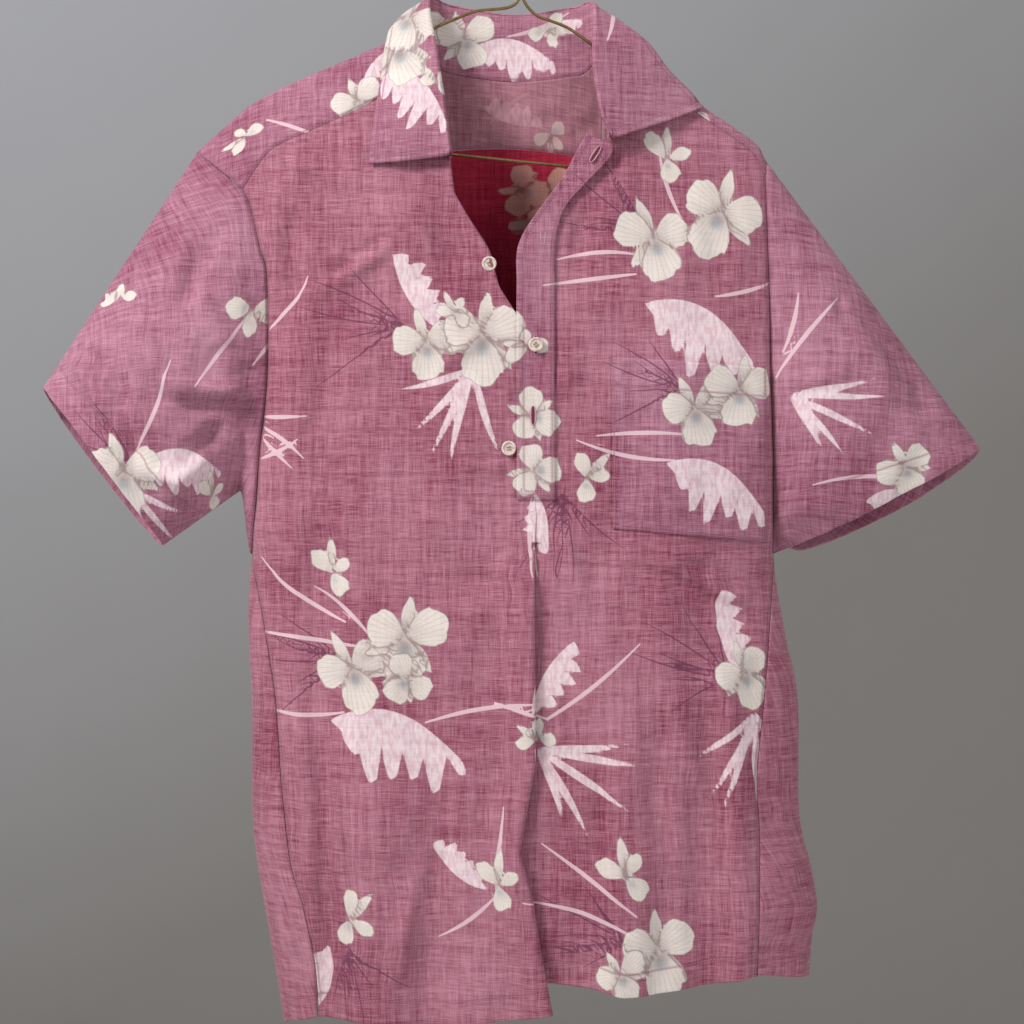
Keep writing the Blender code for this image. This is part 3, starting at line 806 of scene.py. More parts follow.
@dataclass(frozen=True)
class PrintedCloth:
    """Slubbed cotton with the print, its stitches and its weave."""

    name: str
    dark: Colour = (122, 46, 70)
    light: Colour = (184, 126, 142)
    petal: Colour = (226, 216, 206)
    fold: Colour = (150, 132, 128)
    throat: Colour = (142, 160, 168)
    leaf: Colour = (236, 218, 221)
    stem: Colour = (224, 192, 198)
    hair: Colour = (102, 48, 74)
    thread: Colour = (196, 136, 152)
    show: float = 0.93

    def make(self) -> bpy.types.Material:
        """Material of this cloth.

        Returns:
            The material.
        """
        s = Shader(self.name, 0.86)
        at = s.read("cloth", "Vector")
        grain = s.noise(at, (1.3, 1.3, 1.0), 2)
        wobble = s.math("MULTIPLY", s.math("SUBTRACT", grain, 0.5), 1.5)
        streaks, tone = self._heather(s, at)
        colour = s.mix(tone, srgb(*self.dark), srgb(*self.light))
        colour = self._lines(s, colour, wobble)
        colour = self._leaves(s, colour, at, tone, wobble)
        colour = self._petals(s, colour, tone, wobble)
        colour, groove, thread = self._stitches(s, colour)
        s.put(s.main.inputs["Base Color"], colour)
        s.put(s.main.inputs["Roughness"], s.span(tone, 0, 1, 0.92, 0.78))
        s.main.inputs["Specular IOR Level"].default_value = 0.22
        s.main.inputs["Sheen Weight"].default_value = 0.12
        s.main.inputs["Sheen Roughness"].default_value = 0.5
        weave = s.math("ADD", s.math("MULTIPLY", streaks, 0.5), s.math("MULTIPLY", grain, 0.35))
        relief = s.math("SUBTRACT", weave, s.math("MULTIPLY", groove, 0.9))
        s.bump(s.math("ADD", relief, s.math("MULTIPLY", thread, 0.5)), 0.55, 0.0006)
        return s.made

    def _heather(self, s: Shader, at: Socket) -> tuple[Socket, Socket]:
        """Uneven yarns of the ground.

        Args:
            s: the material being made.
            at: place on the cloth.

        Returns:
            The fine streaks alone, and the whole tone from 0 (dark) to 1 (light).
        """
        across = s.noise(at, (0.08, 1.5, 1.0), 3)
        along = s.noise(at, (1.5, 0.06, 1.0), 3)
        cloud = s.noise(at, (0.011, 0.007, 1.0), 2)
        streaks = s.math("ADD", s.math("MULTIPLY", across, 0.55), s.math("MULTIPLY", along, 0.45))
        slub = s.math("ADD", s.noise(at, (0.3, 0.012, 1.0), 2), s.noise(at, (0.012, 0.3, 1.0), 2))
        patches = s.math("MULTIPLY", s.math("SUBTRACT", cloud, 0.5), 0.4)
        broad = s.math("ADD", patches, s.math("MULTIPLY", s.math("SUBTRACT", slub, 1.0), 0.28))
        return streaks, s.span(s.math("ADD", streaks, broad), 0.32, 0.66)

    def _lines(self, s: Shader, colour: Socket, wobble: Socket) -> Socket:
        """Dark sprays and pale stems over the ground.

        Args:
            s: the material being made.
            colour: the colour so far.
            wobble: unevenness of a printed border.

        Returns:
            The new colour.
        """
        hair = self._line(s, "hair", 0.3, 1.3, wobble)
        colour = s.mix(s.math("MULTIPLY", hair, 0.8), colour, srgb(*self.hair))
        stem = self._line(s, "stem", 1.15, 2.1, wobble)
        return s.mix(s.math("MULTIPLY", stem, self.show * 0.9), colour, srgb(*self.stem))

    def _line(self, s: Shader, key: str, half: float, reach: float, wobble: Socket) -> Socket:
        """How much a thin printed line covers.

        Args:
            s: the material being made.
            key: the line's attribute.
            half: half of its width.
            reach: plain distance within which it is trusted.
            wobble: unevenness of its border.

        Returns:
            The cover.
        """
        thin = s.math("ABSOLUTE", s.math("ADD", s.read(key), s.math("MULTIPLY", wobble, 0.5)))
        cover = s.span(thin, half, half + 0.4, 1, 0)
        return s.math("MULTIPLY", cover, s.span(s.read(key + "_far"), reach + 0.4, reach + 1.6, 1, 0))

    def _leaves(self, s: Shader, colour: Socket, at: Socket, tone: Socket, wobble: Socket) -> Socket:
        """Pale leaves and fans, through which the ground shows a little.

        Args:
            s: the material being made.
            colour: the colour so far.
            at: place on the cloth.
            tone: the ground's tone.
            wobble: unevenness of a printed border.

        Returns:
            The new colour.
        """
        cover = s.span(s.math("ADD", s.read("leaf"), wobble), -0.35, 0.45)
        vein = s.noise(at, (0.35, 0.12, 1.0), 1)
        leaf = s.mix(s.span(vein, 0.42, 0.62), srgb(*self.leaf), srgb(*self.stem))
        cover = s.math("MULTIPLY", cover, s.span(tone, 0, 1, self.show - 0.22, self.show))
        return s.mix(cover, colour, leaf)

    def _petals(self, s: Shader, colour: Socket, tone: Socket, wobble: Socket) -> Socket:
        """Ivory petals with their shading, veins, edges and blue middles.

        Args:
            s: the material being made.
            colour: the colour so far.
            tone: the ground's tone.
            wobble: unevenness of a printed border.

        Returns:
            The new colour.
        """
        cover = s.span(s.math("ADD", s.read("petal"), s.math("MULTIPLY", wobble, 0.7)), -0.3, 0.4)
        fold = srgb(*self.fold)
        petal = s.mix(s.span(s.read("shade"), 0.05, 1.0, 0.0, 0.85), srgb(*self.petal), fold)
        ray = s.span(s.math("PINGPONG", s.read("ray"), 0.5), 0.03, 0.12, 0.3, 0.0)
        petal = s.mix(ray, petal, fold)
        edge = s.math("ABSOLUTE", s.math("ADD", s.read("rim"), s.math("MULTIPLY", wobble, 0.25)))
        trusted = s.span(s.read("rim_far"), 1.8, 2.8, 1, 0)
        petal = s.mix(s.math("MULTIPLY", s.span(edge, 0.3, 0.8, 0.72, 0), trusted), petal, fold)
        petal = s.mix(s.math("MULTIPLY", s.read("throat"), 0.75), petal, srgb(*self.throat))
        cover = s.math("MULTIPLY", cover, s.span(tone, 0, 1, self.show - 0.12, self.show + 0.06))
        return s.mix(cover, colour, petal)

    def _stitches(self, s: Shader, colour: Socket) -> tuple[Socket, Socket, Socket]:
        """Stitches, the shallow groove that they pull into the cloth, and painted shade in that groove.

        Args:
            s: the material being made.
            colour: the colour so far.

        Returns:
            The new colour, the groove and the thread.
        """
        near = s.span(s.read("sew_far"), 1.6, 2.4, 1, 0)
        sew = s.math("ABSOLUTE", s.read("sew"))
        dash = s.math("GREATER_THAN", s.math("PINGPONG", s.read("run"), 1.3), 0.38)
        thread = s.math("MULTIPLY", s.math("MULTIPLY", s.span(sew, 0.25, 0.5, 1, 0), near), dash)
        groove = s.math("MULTIPLY", s.span(sew, 0.0, 1.5, 1, 0), near)
        # painted shade: inside the seam groove the colour is darkened towards a darker copy of the ground
        shadow = srgb(*(int(c * 0.8) for c in self.dark))
        colour = s.mix(s.math("MULTIPLY", groove, 0.42), colour, shadow)
        return s.mix(s.math("MULTIPLY", thread, 0.5), colour, srgb(*self.thread)), groove, thread


@dataclass(frozen=True)
class Brass:
    """Brass-plated wire, slightly dulled and worn."""

    colour: Colour = (196, 164, 112)
    dull: Colour = (138, 106, 70)

    def make(self) -> bpy.types.Material:
        """Material of the wire."""
        s = Shader("brass_wire", 0.3)
        place = s.nodes.new("ShaderNodeTexCoord").outputs["Object"]
        worn = s.noise(place, (160, 160, 160), 4)
        fine = s.noise(place, (900, 900, 900), 2)
        tint = s.mix(s.span(worn, 0.35, 0.7), srgb(*self.colour), srgb(*self.dull))
        s.put(s.main.inputs["Base Color"], tint)
        s.put(s.main.inputs["Roughness"], s.span(worn, 0.3, 0.7, 0.22, 0.45))
        s.main.inputs["Metallic"].default_value = 1.0
        s.bump(fine, 0.15, 0.0002)
        return s.made


@dataclass(frozen=True)
class Pearl:
    """Shell of the buttons, with the cloth's colour shining through."""

    colour: Colour = (228, 216, 200)
    deep: Colour = (190, 158, 148)

    def make(self) -> bpy.types.Material:
        """Material of the buttons."""
        s = Shader("button_shell", 0.25)
        place = s.nodes.new("ShaderNodeTexCoord").outputs["Object"]
        bands = s.noise(place, (250, 700, 400), 3)
        tint = s.mix(s.span(bands, 0.35, 0.7), srgb(*self.colour), srgb(*self.deep))
        s.put(s.main.inputs["Base Color"], tint)
        s.put(s.main.inputs["Roughness"], s.span(bands, 0.3, 0.7, 0.16, 0.34))
        s.main.inputs["Coat Weight"].default_value = 0.4
        s.bump(bands, 0.1, 0.0002)
        return s.made


@dataclass(frozen=True)
class Thread:
    """Sewing thread of the buttonholes and the buttons, and the painted shade in the buttonhole slits and
    button holes.
    """

    colour: Colour
    name: str

    def make(self) -> bpy.types.Material:
        """Material of the thread, or of the painted shade."""
        s = Shader(self.name, 0.8)
        place = s.nodes.new("ShaderNodeTexCoord").outputs["Object"]
        twist = s.noise(place, (1600, 1600, 2600), 2)
        dark = tuple(int(c * 0.72) for c in self.colour)
        tint = s.mix(s.span(twist, 0.35, 0.65), srgb(*dark), srgb(*self.colour))
        s.put(s.main.inputs["Base Color"], tint)
        s.put(s.main.inputs["Roughness"], s.span(twist, 0.3, 0.7, 0.9, 0.7))
        s.bump(twist, 0.5, 0.0003)
        return s.made


# ---------------------------------------------------------------- cloth meshes


class Edge(Enum):
    """Border of a grid of cloth that a line of stitches follows."""

    LEFT = "left"
    RIGHT = "right"
    TOP = "top"
    BOTTOM = "bottom"


@dataclass
class Panel:
    """Grid of cloth: rows run down and columns run across."""

    points: Array
    flat: Array
    stitches: list[tuple[Edge, float]] = field(default_factory=list)
    lines: list[Array] = field(default_factory=list)
    closed: bool = False
    centre: Point | None = None
    toward: Point = (0, -1, 0)

    def margins(self) -> dict[Edge, Array]:
        """Distance of each point from the four borders, along the cloth.

        Returns:
            One array for each border.
        """
        down = np.linalg.norm(np.diff(self.points, axis=0), axis=2)
        over = np.linalg.norm(np.diff(self.points, axis=1), axis=2)
        down = np.vstack([np.zeros((1, down.shape[1])), np.cumsum(down, axis=0)])
        over = np.hstack([np.zeros((over.shape[0], 1)), np.cumsum(over, axis=1)])
        return {
            Edge.TOP: down, Edge.BOTTOM: down[-1:] - down,
            Edge.LEFT: over, Edge.RIGHT: over[:, -1:] - over,
        }

    def sewing(self) -> dict[str, Array]:
        """Values from which the material draws the stitches.

        Returns:
            Arrays: sew and sew_far (signed and plain distance from the nearest line of stitches),
            and run (place along it).
        """
        margins = self.margins()
        shape = self.points.shape[:2]
        side, far, run = np.full(shape, FAR), np.full(shape, FAR), np.zeros(shape)
        for edge, inset in self.stitches:
            away = margins[edge] - inset
            along = margins[Edge.LEFT if edge in (Edge.TOP, Edge.BOTTOM) else Edge.TOP]
            near = np.abs(away) < far
            side, far = np.where(near, away, side), np.where(near, np.abs(away), far)
            run = np.where(near, along, run)
        for line in self.lines:
            flat = self.flat.reshape(-1, 2)
            away, plain, share = (item.reshape(shape) for item in line_distance(flat, line))
            near = plain < far
            side, far = np.where(near, away, side), np.where(near, plain, far)
            run = np.where(near, share * np.linalg.norm(np.diff(line, axis=0), axis=1).sum(), run)
        return {"sew": np.clip(side, -FAR, FAR), "sew_far": far, "run": run}

    def normals(self) -> Array:
        """Outward direction at each point.

        Returns:
            Unit vectors.
        """
        if self.closed:
            ring = np.concatenate([self.points[:, -1:], self.points, self.points[:, :1]], axis=1)
            over = (ring[:, 2:] - ring[:, :-2]) / 2
        else:
            over = np.gradient(self.points, axis=1)
        normal = np.cross(np.gradient(self.points, axis=0), over)
        normal /= np.maximum(np.linalg.norm(normal, axis=2, keepdims=True), 1e-9)
        return normal * (-1 if self.inward(normal) else 1)

    def inward(self, normal: Array) -> bool:
        """Whether these directions point into the garment.

        Args:
            normal: directions at the panel's points.

        Returns:
            True where they mostly do.
        """
        if self.centre is not None:
            return bool((normal * (self.points - np.array(self.centre))).sum() < 0)
        return bool((normal * np.array(self.toward)).sum() < 0)

    def hemmed(self, wide: float, round_: float = 0.9) -> "Panel":
        """The same panel with its lower border folded in behind it.

        Args:
            wide: width of the folded part.
            round_: half of the gap between the two layers.

        Returns:
            A new panel with the extra rows.
        """
        normal = self.normals()
        down = self.points[-1] - self.points[-3]
        down /= np.maximum(np.linalg.norm(down, axis=1, keepdims=True), 1e-9)
        rows, flats = [self.points], [self.flat]
        step = self.flat[-1] - self.flat[-3]
        step /= np.maximum(np.linalg.norm(step, axis=1, keepdims=True), 1e-9)
        for angle in range(30, 181, 30):
            a = math.radians(angle)
            bend = round_ * (math.sin(a) * down + (math.cos(a) - 1) * normal[-1])
            rows.append((self.points[-1] + bend)[None])
            flats.append((self.flat[-1] + step * round_ * a)[None])
        back = self.margins()[Edge.BOTTOM].mean(axis=1)
        turn = 3.0
        for index in range(len(back) - 2, 0, -1):
            if back[index] > wide:
                break
            rows.append((self.points[index] - 2 * round_ * normal[index])[None])
            flats.append((self.flat[-1] + step * (turn + back[index]))[None])
        points = np.concatenate(rows)
        folded = np.linalg.norm(np.diff(points[len(self.points) - 1 :], axis=0), axis=2).sum(axis=0).mean()
        stitches = [(e, inset + folded) if e is Edge.BOTTOM else (e, inset) for e, inset in self.stitches]
        return Panel(
            points, np.concatenate(flats), stitches, self.lines, self.closed, self.centre, self.toward
        )


@dataclass
class ClothPiece:
    """One sewn piece: its panels, print, wall, finishes and what it stands for."""

    name: str
    panels: list[Panel]
    printed: Sequence[Placed]
    outer: bpy.types.Material
    inner: bpy.types.Material
    slot: str
    flat: tuple[float, float]
    area: float
    rests_on: list[str]
    wall: float = 0.7
    held: str = "hung"

    def build(self) -> bpy.types.Object:
        """Returns:
            The new object.
        """
        points, faces, store = [], [], {}
        artwork = Print(self.printed)
        for panel in self.panels:
            rows, columns = panel.points.shape[:2]
            start = sum(len(p) for p in points)
            index = start + np.arange(rows * columns).reshape(rows, columns)
            if panel.closed:
                index = np.hstack([index, index[:, :1]])
            corners = (index[:-1, :-1], index[1:, :-1], index[1:, 1:], index[:-1, 1:])
            quads = np.stack(corners, axis=-1).reshape(-1, 4)
            over = np.cross(np.gradient(panel.points, axis=0), np.gradient(panel.points, axis=1))
            if panel.inward(over):
                quads = quads[:, ::-1]
            points.append(panel.points.reshape(-1, 3))
            faces.append(quads)
            values = {**artwork.fields(panel.flat[..., 0], panel.flat[..., 1]), **panel.sewing()}
            values["cloth"] = np.concatenate([panel.flat, np.zeros(panel.flat.shape[:2] + (1,))], axis=-1)
            for key, value in values.items():
                store.setdefault(key, []).append(value.reshape(rows * columns, -1))
        mesh = bpy.data.meshes.new(self.name)
        mesh.from_pydata((np.concatenate(points) * MM).tolist(), [], np.concatenate(faces).tolist())
        for key, parts in store.items():
            values = np.concatenate(parts).astype(np.float32)
            kind, slot = ("FLOAT_VECTOR", "vector") if values.shape[1] == 3 else ("FLOAT", "value")
            mesh.attributes.new(key, kind, "POINT").data.foreach_set(slot, values.ravel())
        mesh.shade_smooth()
        mesh.materials.append(self.outer)
        mesh.materials.append(self.inner)
        made = bpy.data.objects.new(self.name, mesh)
        bpy.context.scene.collection.objects.link(made)
        wall = made.modifiers.new("wall", "SOLIDIFY")
        wall.thickness, wall.offset = self.wall * MM, -1
        wall.material_offset, wall.material_offset_rim = 1, 0
        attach(made, "root")
        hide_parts(self.name.removesuffix("_cloth"))
        shown = sum(face.area for face in mesh.polygons)
        LOG.info("%s: %d points, %.4f square metres of %.4f", self.name, len(mesh.vertices), shown, self.area)
        return made


# ---------------------------------------------------------------- the shirt's pieces


def lerp(a: Array, b: Array, share: Array | float) -> Array:
    """Point part of the way from a to b."""
    return a + (b - a) * share


def across_flat(points: Array, zero: float = 0.0) -> Array:
    """Cloth coordinates of a grid whose rows run across the body.

    Args:
        points: the grid.
        zero: the x at which both coordinates agree with the place.

    Returns:
        Coordinates with the length along each row in place of x.
    """
    step = np.linalg.norm(np.diff(points, axis=1)[..., :2], axis=2)
    run = np.hstack([np.zeros((len(points), 1)), np.cumsum(step, axis=1)])
    column = int(np.argmin(np.abs(points[len(points) // 2, :, 0] - zero)))
    along = run - run[:, column : column + 1] + points[:, column : column + 1, 0]
    return np.stack([along, points[..., 2]], axis=-1)


@dataclass
class Finishes:
    """Materials of the whole object."""

    cloth: bpy.types.Material
    light: bpy.types.Material
    inside: bpy.types.Material
    reverse: bpy.types.Material
    brass: bpy.types.Material
    pearl: bpy.types.Material
    thread: bpy.types.Material
    shadow: bpy.types.Material


@dataclass
class Body:
    """Front and back panels."""

    form: BodyForm
    finish: Finishes
    pitch: float = 3.0
    hem_wide: float = 17.0
    yoke_front: list[Point] = field(default_factory=lambda: [
        (-216, -229), (-195, -199), (-165, -184), (-134, -170), (-106, -156), (-78, -147), (60, -122),
        (98, -144), (139, -170), (177, -197), (188, -216)])
    yoke_back: list[Point] = field(default_factory=lambda: [(-233, -215), (-3, -190), (188, -236)])
    hem_left: list[Point] = field(default_factory=lambda: [
        (-177, -872), (-155, -862), (-53, -863), (1, -857), (18, -854)])
    hem_right: list[Point] = field(default_factory=lambda: [
        (3, -830), (52, -835), (80, -841), (138, -835), (186, -828)])
    hem_back: list[Point] = field(default_factory=lambda: [
        (-190, -874), (-155, -862), (0, -850), (160, -838), (178, -829), (225, -836)])
    opening_left: list[Point] = field(default_factory=lambda: [
        (-100, -86), (-144, -75), (-179, -61), (-209, -56), (-233, -53), (-252, -42), (-278, -26),
        (-305, -19), (-324, -7), (-344, 6), (-466, 8), (-480, 9.5), (-520, 7), (-560, 6), (-667, 6),
        (-733, -6), (-767, 3), (-792, 7), (-816, 11), (-854, 18), (-870, 20)])
    opening_right: list[Point] = field(default_factory=lambda: [
        (-100, 61), (-148, 61), (-179, 67), (-205, 60), (-232, 38), (-262, 20), (-300, 11), (-344, 10),
        (-466, 10), (-486, -4), (-520, -12), (-700, -18), (-870, -8)])
    fold_height: list[Point] = field(default_factory=lambda: [
        (-854, 11), (-700, 9), (-560, 7), (-500, 2), (-480, 0), (-140, 0)])
    pleat_x: float = -12.0
    pleat_half: float = 19.0
    pleat_height: float = 4.0

    def _rows(self, columns: int, rows: int, reach: Callable[[Array], tuple[Array, Array]],
              top: Callable[[Array], Array], hem: Callable[[Array], Array]) -> tuple[Array, Array]:
        """Places of a grid between two side curves, a top curve and a hem.

        Args:
            columns, rows: the grid's counts.
            reach: gives the left and right x at any z.
            top, hem: give z at any x.

        Returns:
            x and z of the grid.
        """
        share = np.linspace(0, 1, columns)[None, :] * np.ones((rows, 1))
        down = np.linspace(0, 1, rows)[:, None] * np.ones((1, columns))
        z = -200 - 650 * down
        for _ in range(60):
            left, right = reach(z)
            x = left + (right - left) * share
            first, last = top(x), hem(x)
            z = (z + first + (last - first) * down) / 2
        return x, z

    def front(self) -> list[Panel]:
        """Left half, which ends in the rounded fold, and right half below it."""
        form = self.form
        edge, other = curve(self.opening_left, soft=False), curve(self.opening_right, soft=False)
        top = curve(self.yoke_front)
        rise = curve(self.fold_height)

        def left_side(z: Array) -> Array:
            """Left border of the front."""
            return np.where(z < form.armpit, form.seam_left_at(z), form.left_at(z))

        def right_side(z: Array) -> Array:
            """Right border of the front."""
            return np.where(z < form.armpit, form.seam_right_at(z), form.right_at(z))

        rows = int(700 / self.pitch)
        x, z = self._rows(int(230 / self.pitch), rows, lambda v: (left_side(v), edge(v)),
                          lambda v: top(v) - 0.1, curve(self.hem_left))
        lift = rise(z)
        near = np.clip((x - edge(z)) / 34 + 1, 0, 1)
        curl = 2.2 * np.exp(-((edge(z) - x) / 4.0)) * soft_step((z + 345) / 20)
        flat_part = form.point(x, z, Side.FRONT, lift * soft_step(near) + curl)
        high = np.maximum(lift[:, -1:] * 0.42, 0.6)
        turn = np.linspace(0, math.pi, 9)[None, 1:]
        back_x = x[:, -1:] + high * np.sin(turn) * 0.9
        back_out = lift[:, -1:] - high * (1 - np.cos(turn))
        tail = np.linspace(0, 1, 6)[None, 1:]
        tail_x = x[:, -1:] - 15 * tail
        tail_out = lift[:, -1:] - 2 * high - 1.2 * tail * np.ones_like(tail_x)
        add_x, add_out = np.hstack([back_x, tail_x]), np.hstack([back_out, tail_out])
        rim = form.point(x[:, -1:] * np.ones_like(add_x), z[:, -1:] * np.ones_like(add_x), Side.FRONT)
        rim[..., 0] = add_x
        rim[..., 1] -= add_out
        points = np.concatenate([flat_part, rim], axis=1)
        left = Panel(points, across_flat(points, -60), [(Edge.LEFT, 1.5), (Edge.BOTTOM, self.hem_wide)])
        x, z = self._rows(int(215 / self.pitch), rows, lambda v: (other(v), right_side(v)),
                          lambda v: top(v) - 0.1, curve(self.hem_right))
        under = 0.6 + 1.6 * soft_step((-470 - z) / 40) * soft_step((edge(z) + 12 - x) / 24)
        points = form.point(x, z, Side.FRONT, -under)
        right = Panel(points, across_flat(points, 60), [(Edge.BOTTOM, self.hem_wide), (Edge.RIGHT, 1.5)])
        vee = through([(-2, -486), (4, -512), (10, -510), (16, -487)], 4)
        left.lines = [vee, through([(-5, -462), (22, -463)], 4), through([(-5, -466), (22, -467)], 4)]
        return [left.hemmed(self.hem_wide), right.hemmed(self.hem_wide)]

    def back(self) -> list[Panel]:
        """Back panel, which comes round both sides to the side seams."""
        form = self.form
        columns, rows = int(520 / self.pitch), int(690 / self.pitch)
        top, hem = curve(self.yoke_back), curve(self.hem_back)
        share = np.linspace(0, 1, columns)[None, :] * np.ones((rows, 1))
        down = np.linspace(0, 1, rows)[:, None] * np.ones((1, columns))
        z, x, side = -220 - 640 * down, np.zeros_like(down), np.ones_like(down)
        for _ in range(60):
            left, right = form.left_at(z), form.right_at(z)
            middle, half = (left + right) / 2, (right - left) / 2
            turns = []
            for seam in (form.seam_right_at(z) + 0.6, form.seam_left_at(z) - 0.6):
                inside = np.clip(np.abs(seam - middle) / half, 0, 1)
                turns.append(np.where(z < form.armpit, np.arccos(inside ** (form.square / 2)), 0))
            angle = -turns[0] + (math.pi + turns[0] + turns[1]) * share
            side = np.where((angle >= -1e-9) & (angle <= math.pi + 1e-9), 1.0, -1.0)
            x = middle + half * np.sign(np.cos(angle)) * np.abs(np.cos(angle)) ** (2 / form.square)
            first, last = top(x) - 0.2, hem(x)
            z = (z + first + (last - first) * down) / 2
        off = np.abs(x - self.pleat_x)
        calm = soft_step((-200 - z) / 60) * (side > 0)
        pleat = self.pleat_height * soft_step((self.pleat_half + 1.5 - off) / 3) * calm
        rear, fore = form.point(x, z, Side.BACK, pleat - 0.3), form.point(x, z, Side.FRONT, -0.5)
        points = np.where((side > 0)[..., None], rear, fore)
        flat = across_flat(points * (-1, 1, 1)) * (-1, 1)
        panel = Panel(points, flat, [(Edge.TOP, 2.0), (Edge.BOTTOM, self.hem_wide)], centre=(0, 0, -520))
        return [panel.hemmed(self.hem_wide)]

    def build(self) -> None:
        """Makes both panels."""
        look = (self.finish.cloth, self.finish.inside, "printed_cloth")
        carried = ["yoke_cloth"]
        ClothPiece("front_cloth", self.front(), FRONT_PRINT, *look, (0.50, 0.73), 0.312, carried).build()
        ClothPiece("back_cloth", self.back(), BACK_PRINT, *look, (0.60, 0.67), 0.36, carried).build()


@dataclass
class Yoke:
    """Shoulder piece from the front seams over the hanger to the back seam."""

    form: BodyForm
    finish: Finishes
    body: Body
    left: list[Point] = field(default_factory=lambda: [
        (-216, -254, -233), (-195, -225, -212), (-165, -180, -178), (-134, -140, -140), (-106, -108, -108),
        (-78, -86, -86)])
    neck: list[Point] = field(default_factory=lambda: [
        (-86, -105), (-76, -118), (-66, -129), (-45, -135), (-22, -138), (-4, -139), (18, -137.5),
        (34, -135.5), (48, -133), (57, -124), (62.6, -115)])
    right: list[Point] = field(default_factory=lambda: [
        (62, 63, 63), (98, 99, 99), (139, 140, 140), (177, 179, 175), (188, 189, 188)])

    def _shoulder(self, table: Sequence[Point], count: int = 24) -> Panel:
        """Part of the yoke beside the neck.

        Args:
            table: x at the front seam, the ridge and the back seam, at each station.
            count: rows from the ridge to a seam.

        Returns:
            The panel.
        """
        form = self.form
        stations = through(table, 14)
        front_seam, back_seam = curve(self.body.yoke_front), curve(self.body.yoke_back)
        s = np.linspace(1, 0, count)[:, None] ** 1.6
        front_x, ridge_x, back_x = stations.T
        drop_front = form.ridge_at(front_x) - front_seam(front_x)
        drop_back = form.ridge_at(back_x) - back_seam(back_x)
        rows = []
        for end_x, drop, side in ((front_x, drop_front, Side.FRONT), (back_x, drop_back, Side.BACK)):
            x = ridge_x + (end_x - ridge_x) * s
            z = form.ridge_at(x) - np.maximum(drop * s, 0.0)
            points = form.point(x, z, side, 0.15)
            rows.append(points if side is Side.FRONT else points[::-1][1:])
        points = np.concatenate(rows)
        steps = np.linalg.norm(np.diff(points, axis=0), axis=2)
        v = points[:1, :, 2] + np.vstack([np.zeros((1, points.shape[1])), np.cumsum(steps, axis=0)])
        flat = np.stack([points[..., 0], v], axis=-1)
        return Panel(points, flat, [(Edge.TOP, 1.8), (Edge.BOTTOM, 1.8)], toward=(0, 0, 1))

    def build(self) -> None:
        """Makes the yoke."""
        form = self.form
        shoulders = [self._shoulder(self.left), self._shoulder(self.right)]
        line = through(self.neck, 8)
        x, start = line[:, 0], line[:, 1]
        end = curve(self.body.yoke_back)(x)
        z = start + (end - start) * np.linspace(0, 1, 26)[:, None]
        points = form.point(x[None, :] * np.ones_like(z), z, Side.BACK, 0.15)
        flat = np.stack([points[..., 0], 2 * form.ridge_at(x)[None, :] - z], axis=-1)
        middle = Panel(points, flat, [(Edge.TOP, 2.0), (Edge.BOTTOM, 1.8)], toward=(0, 1, 0))
        ClothPiece("yoke_cloth", [*shoulders, middle], YOKE_PRINT, self.finish.light, self.finish.reverse,
                   "printed_cloth_light", (0.50, 0.16), 0.052, ["hanger"], wall=0.8).build()


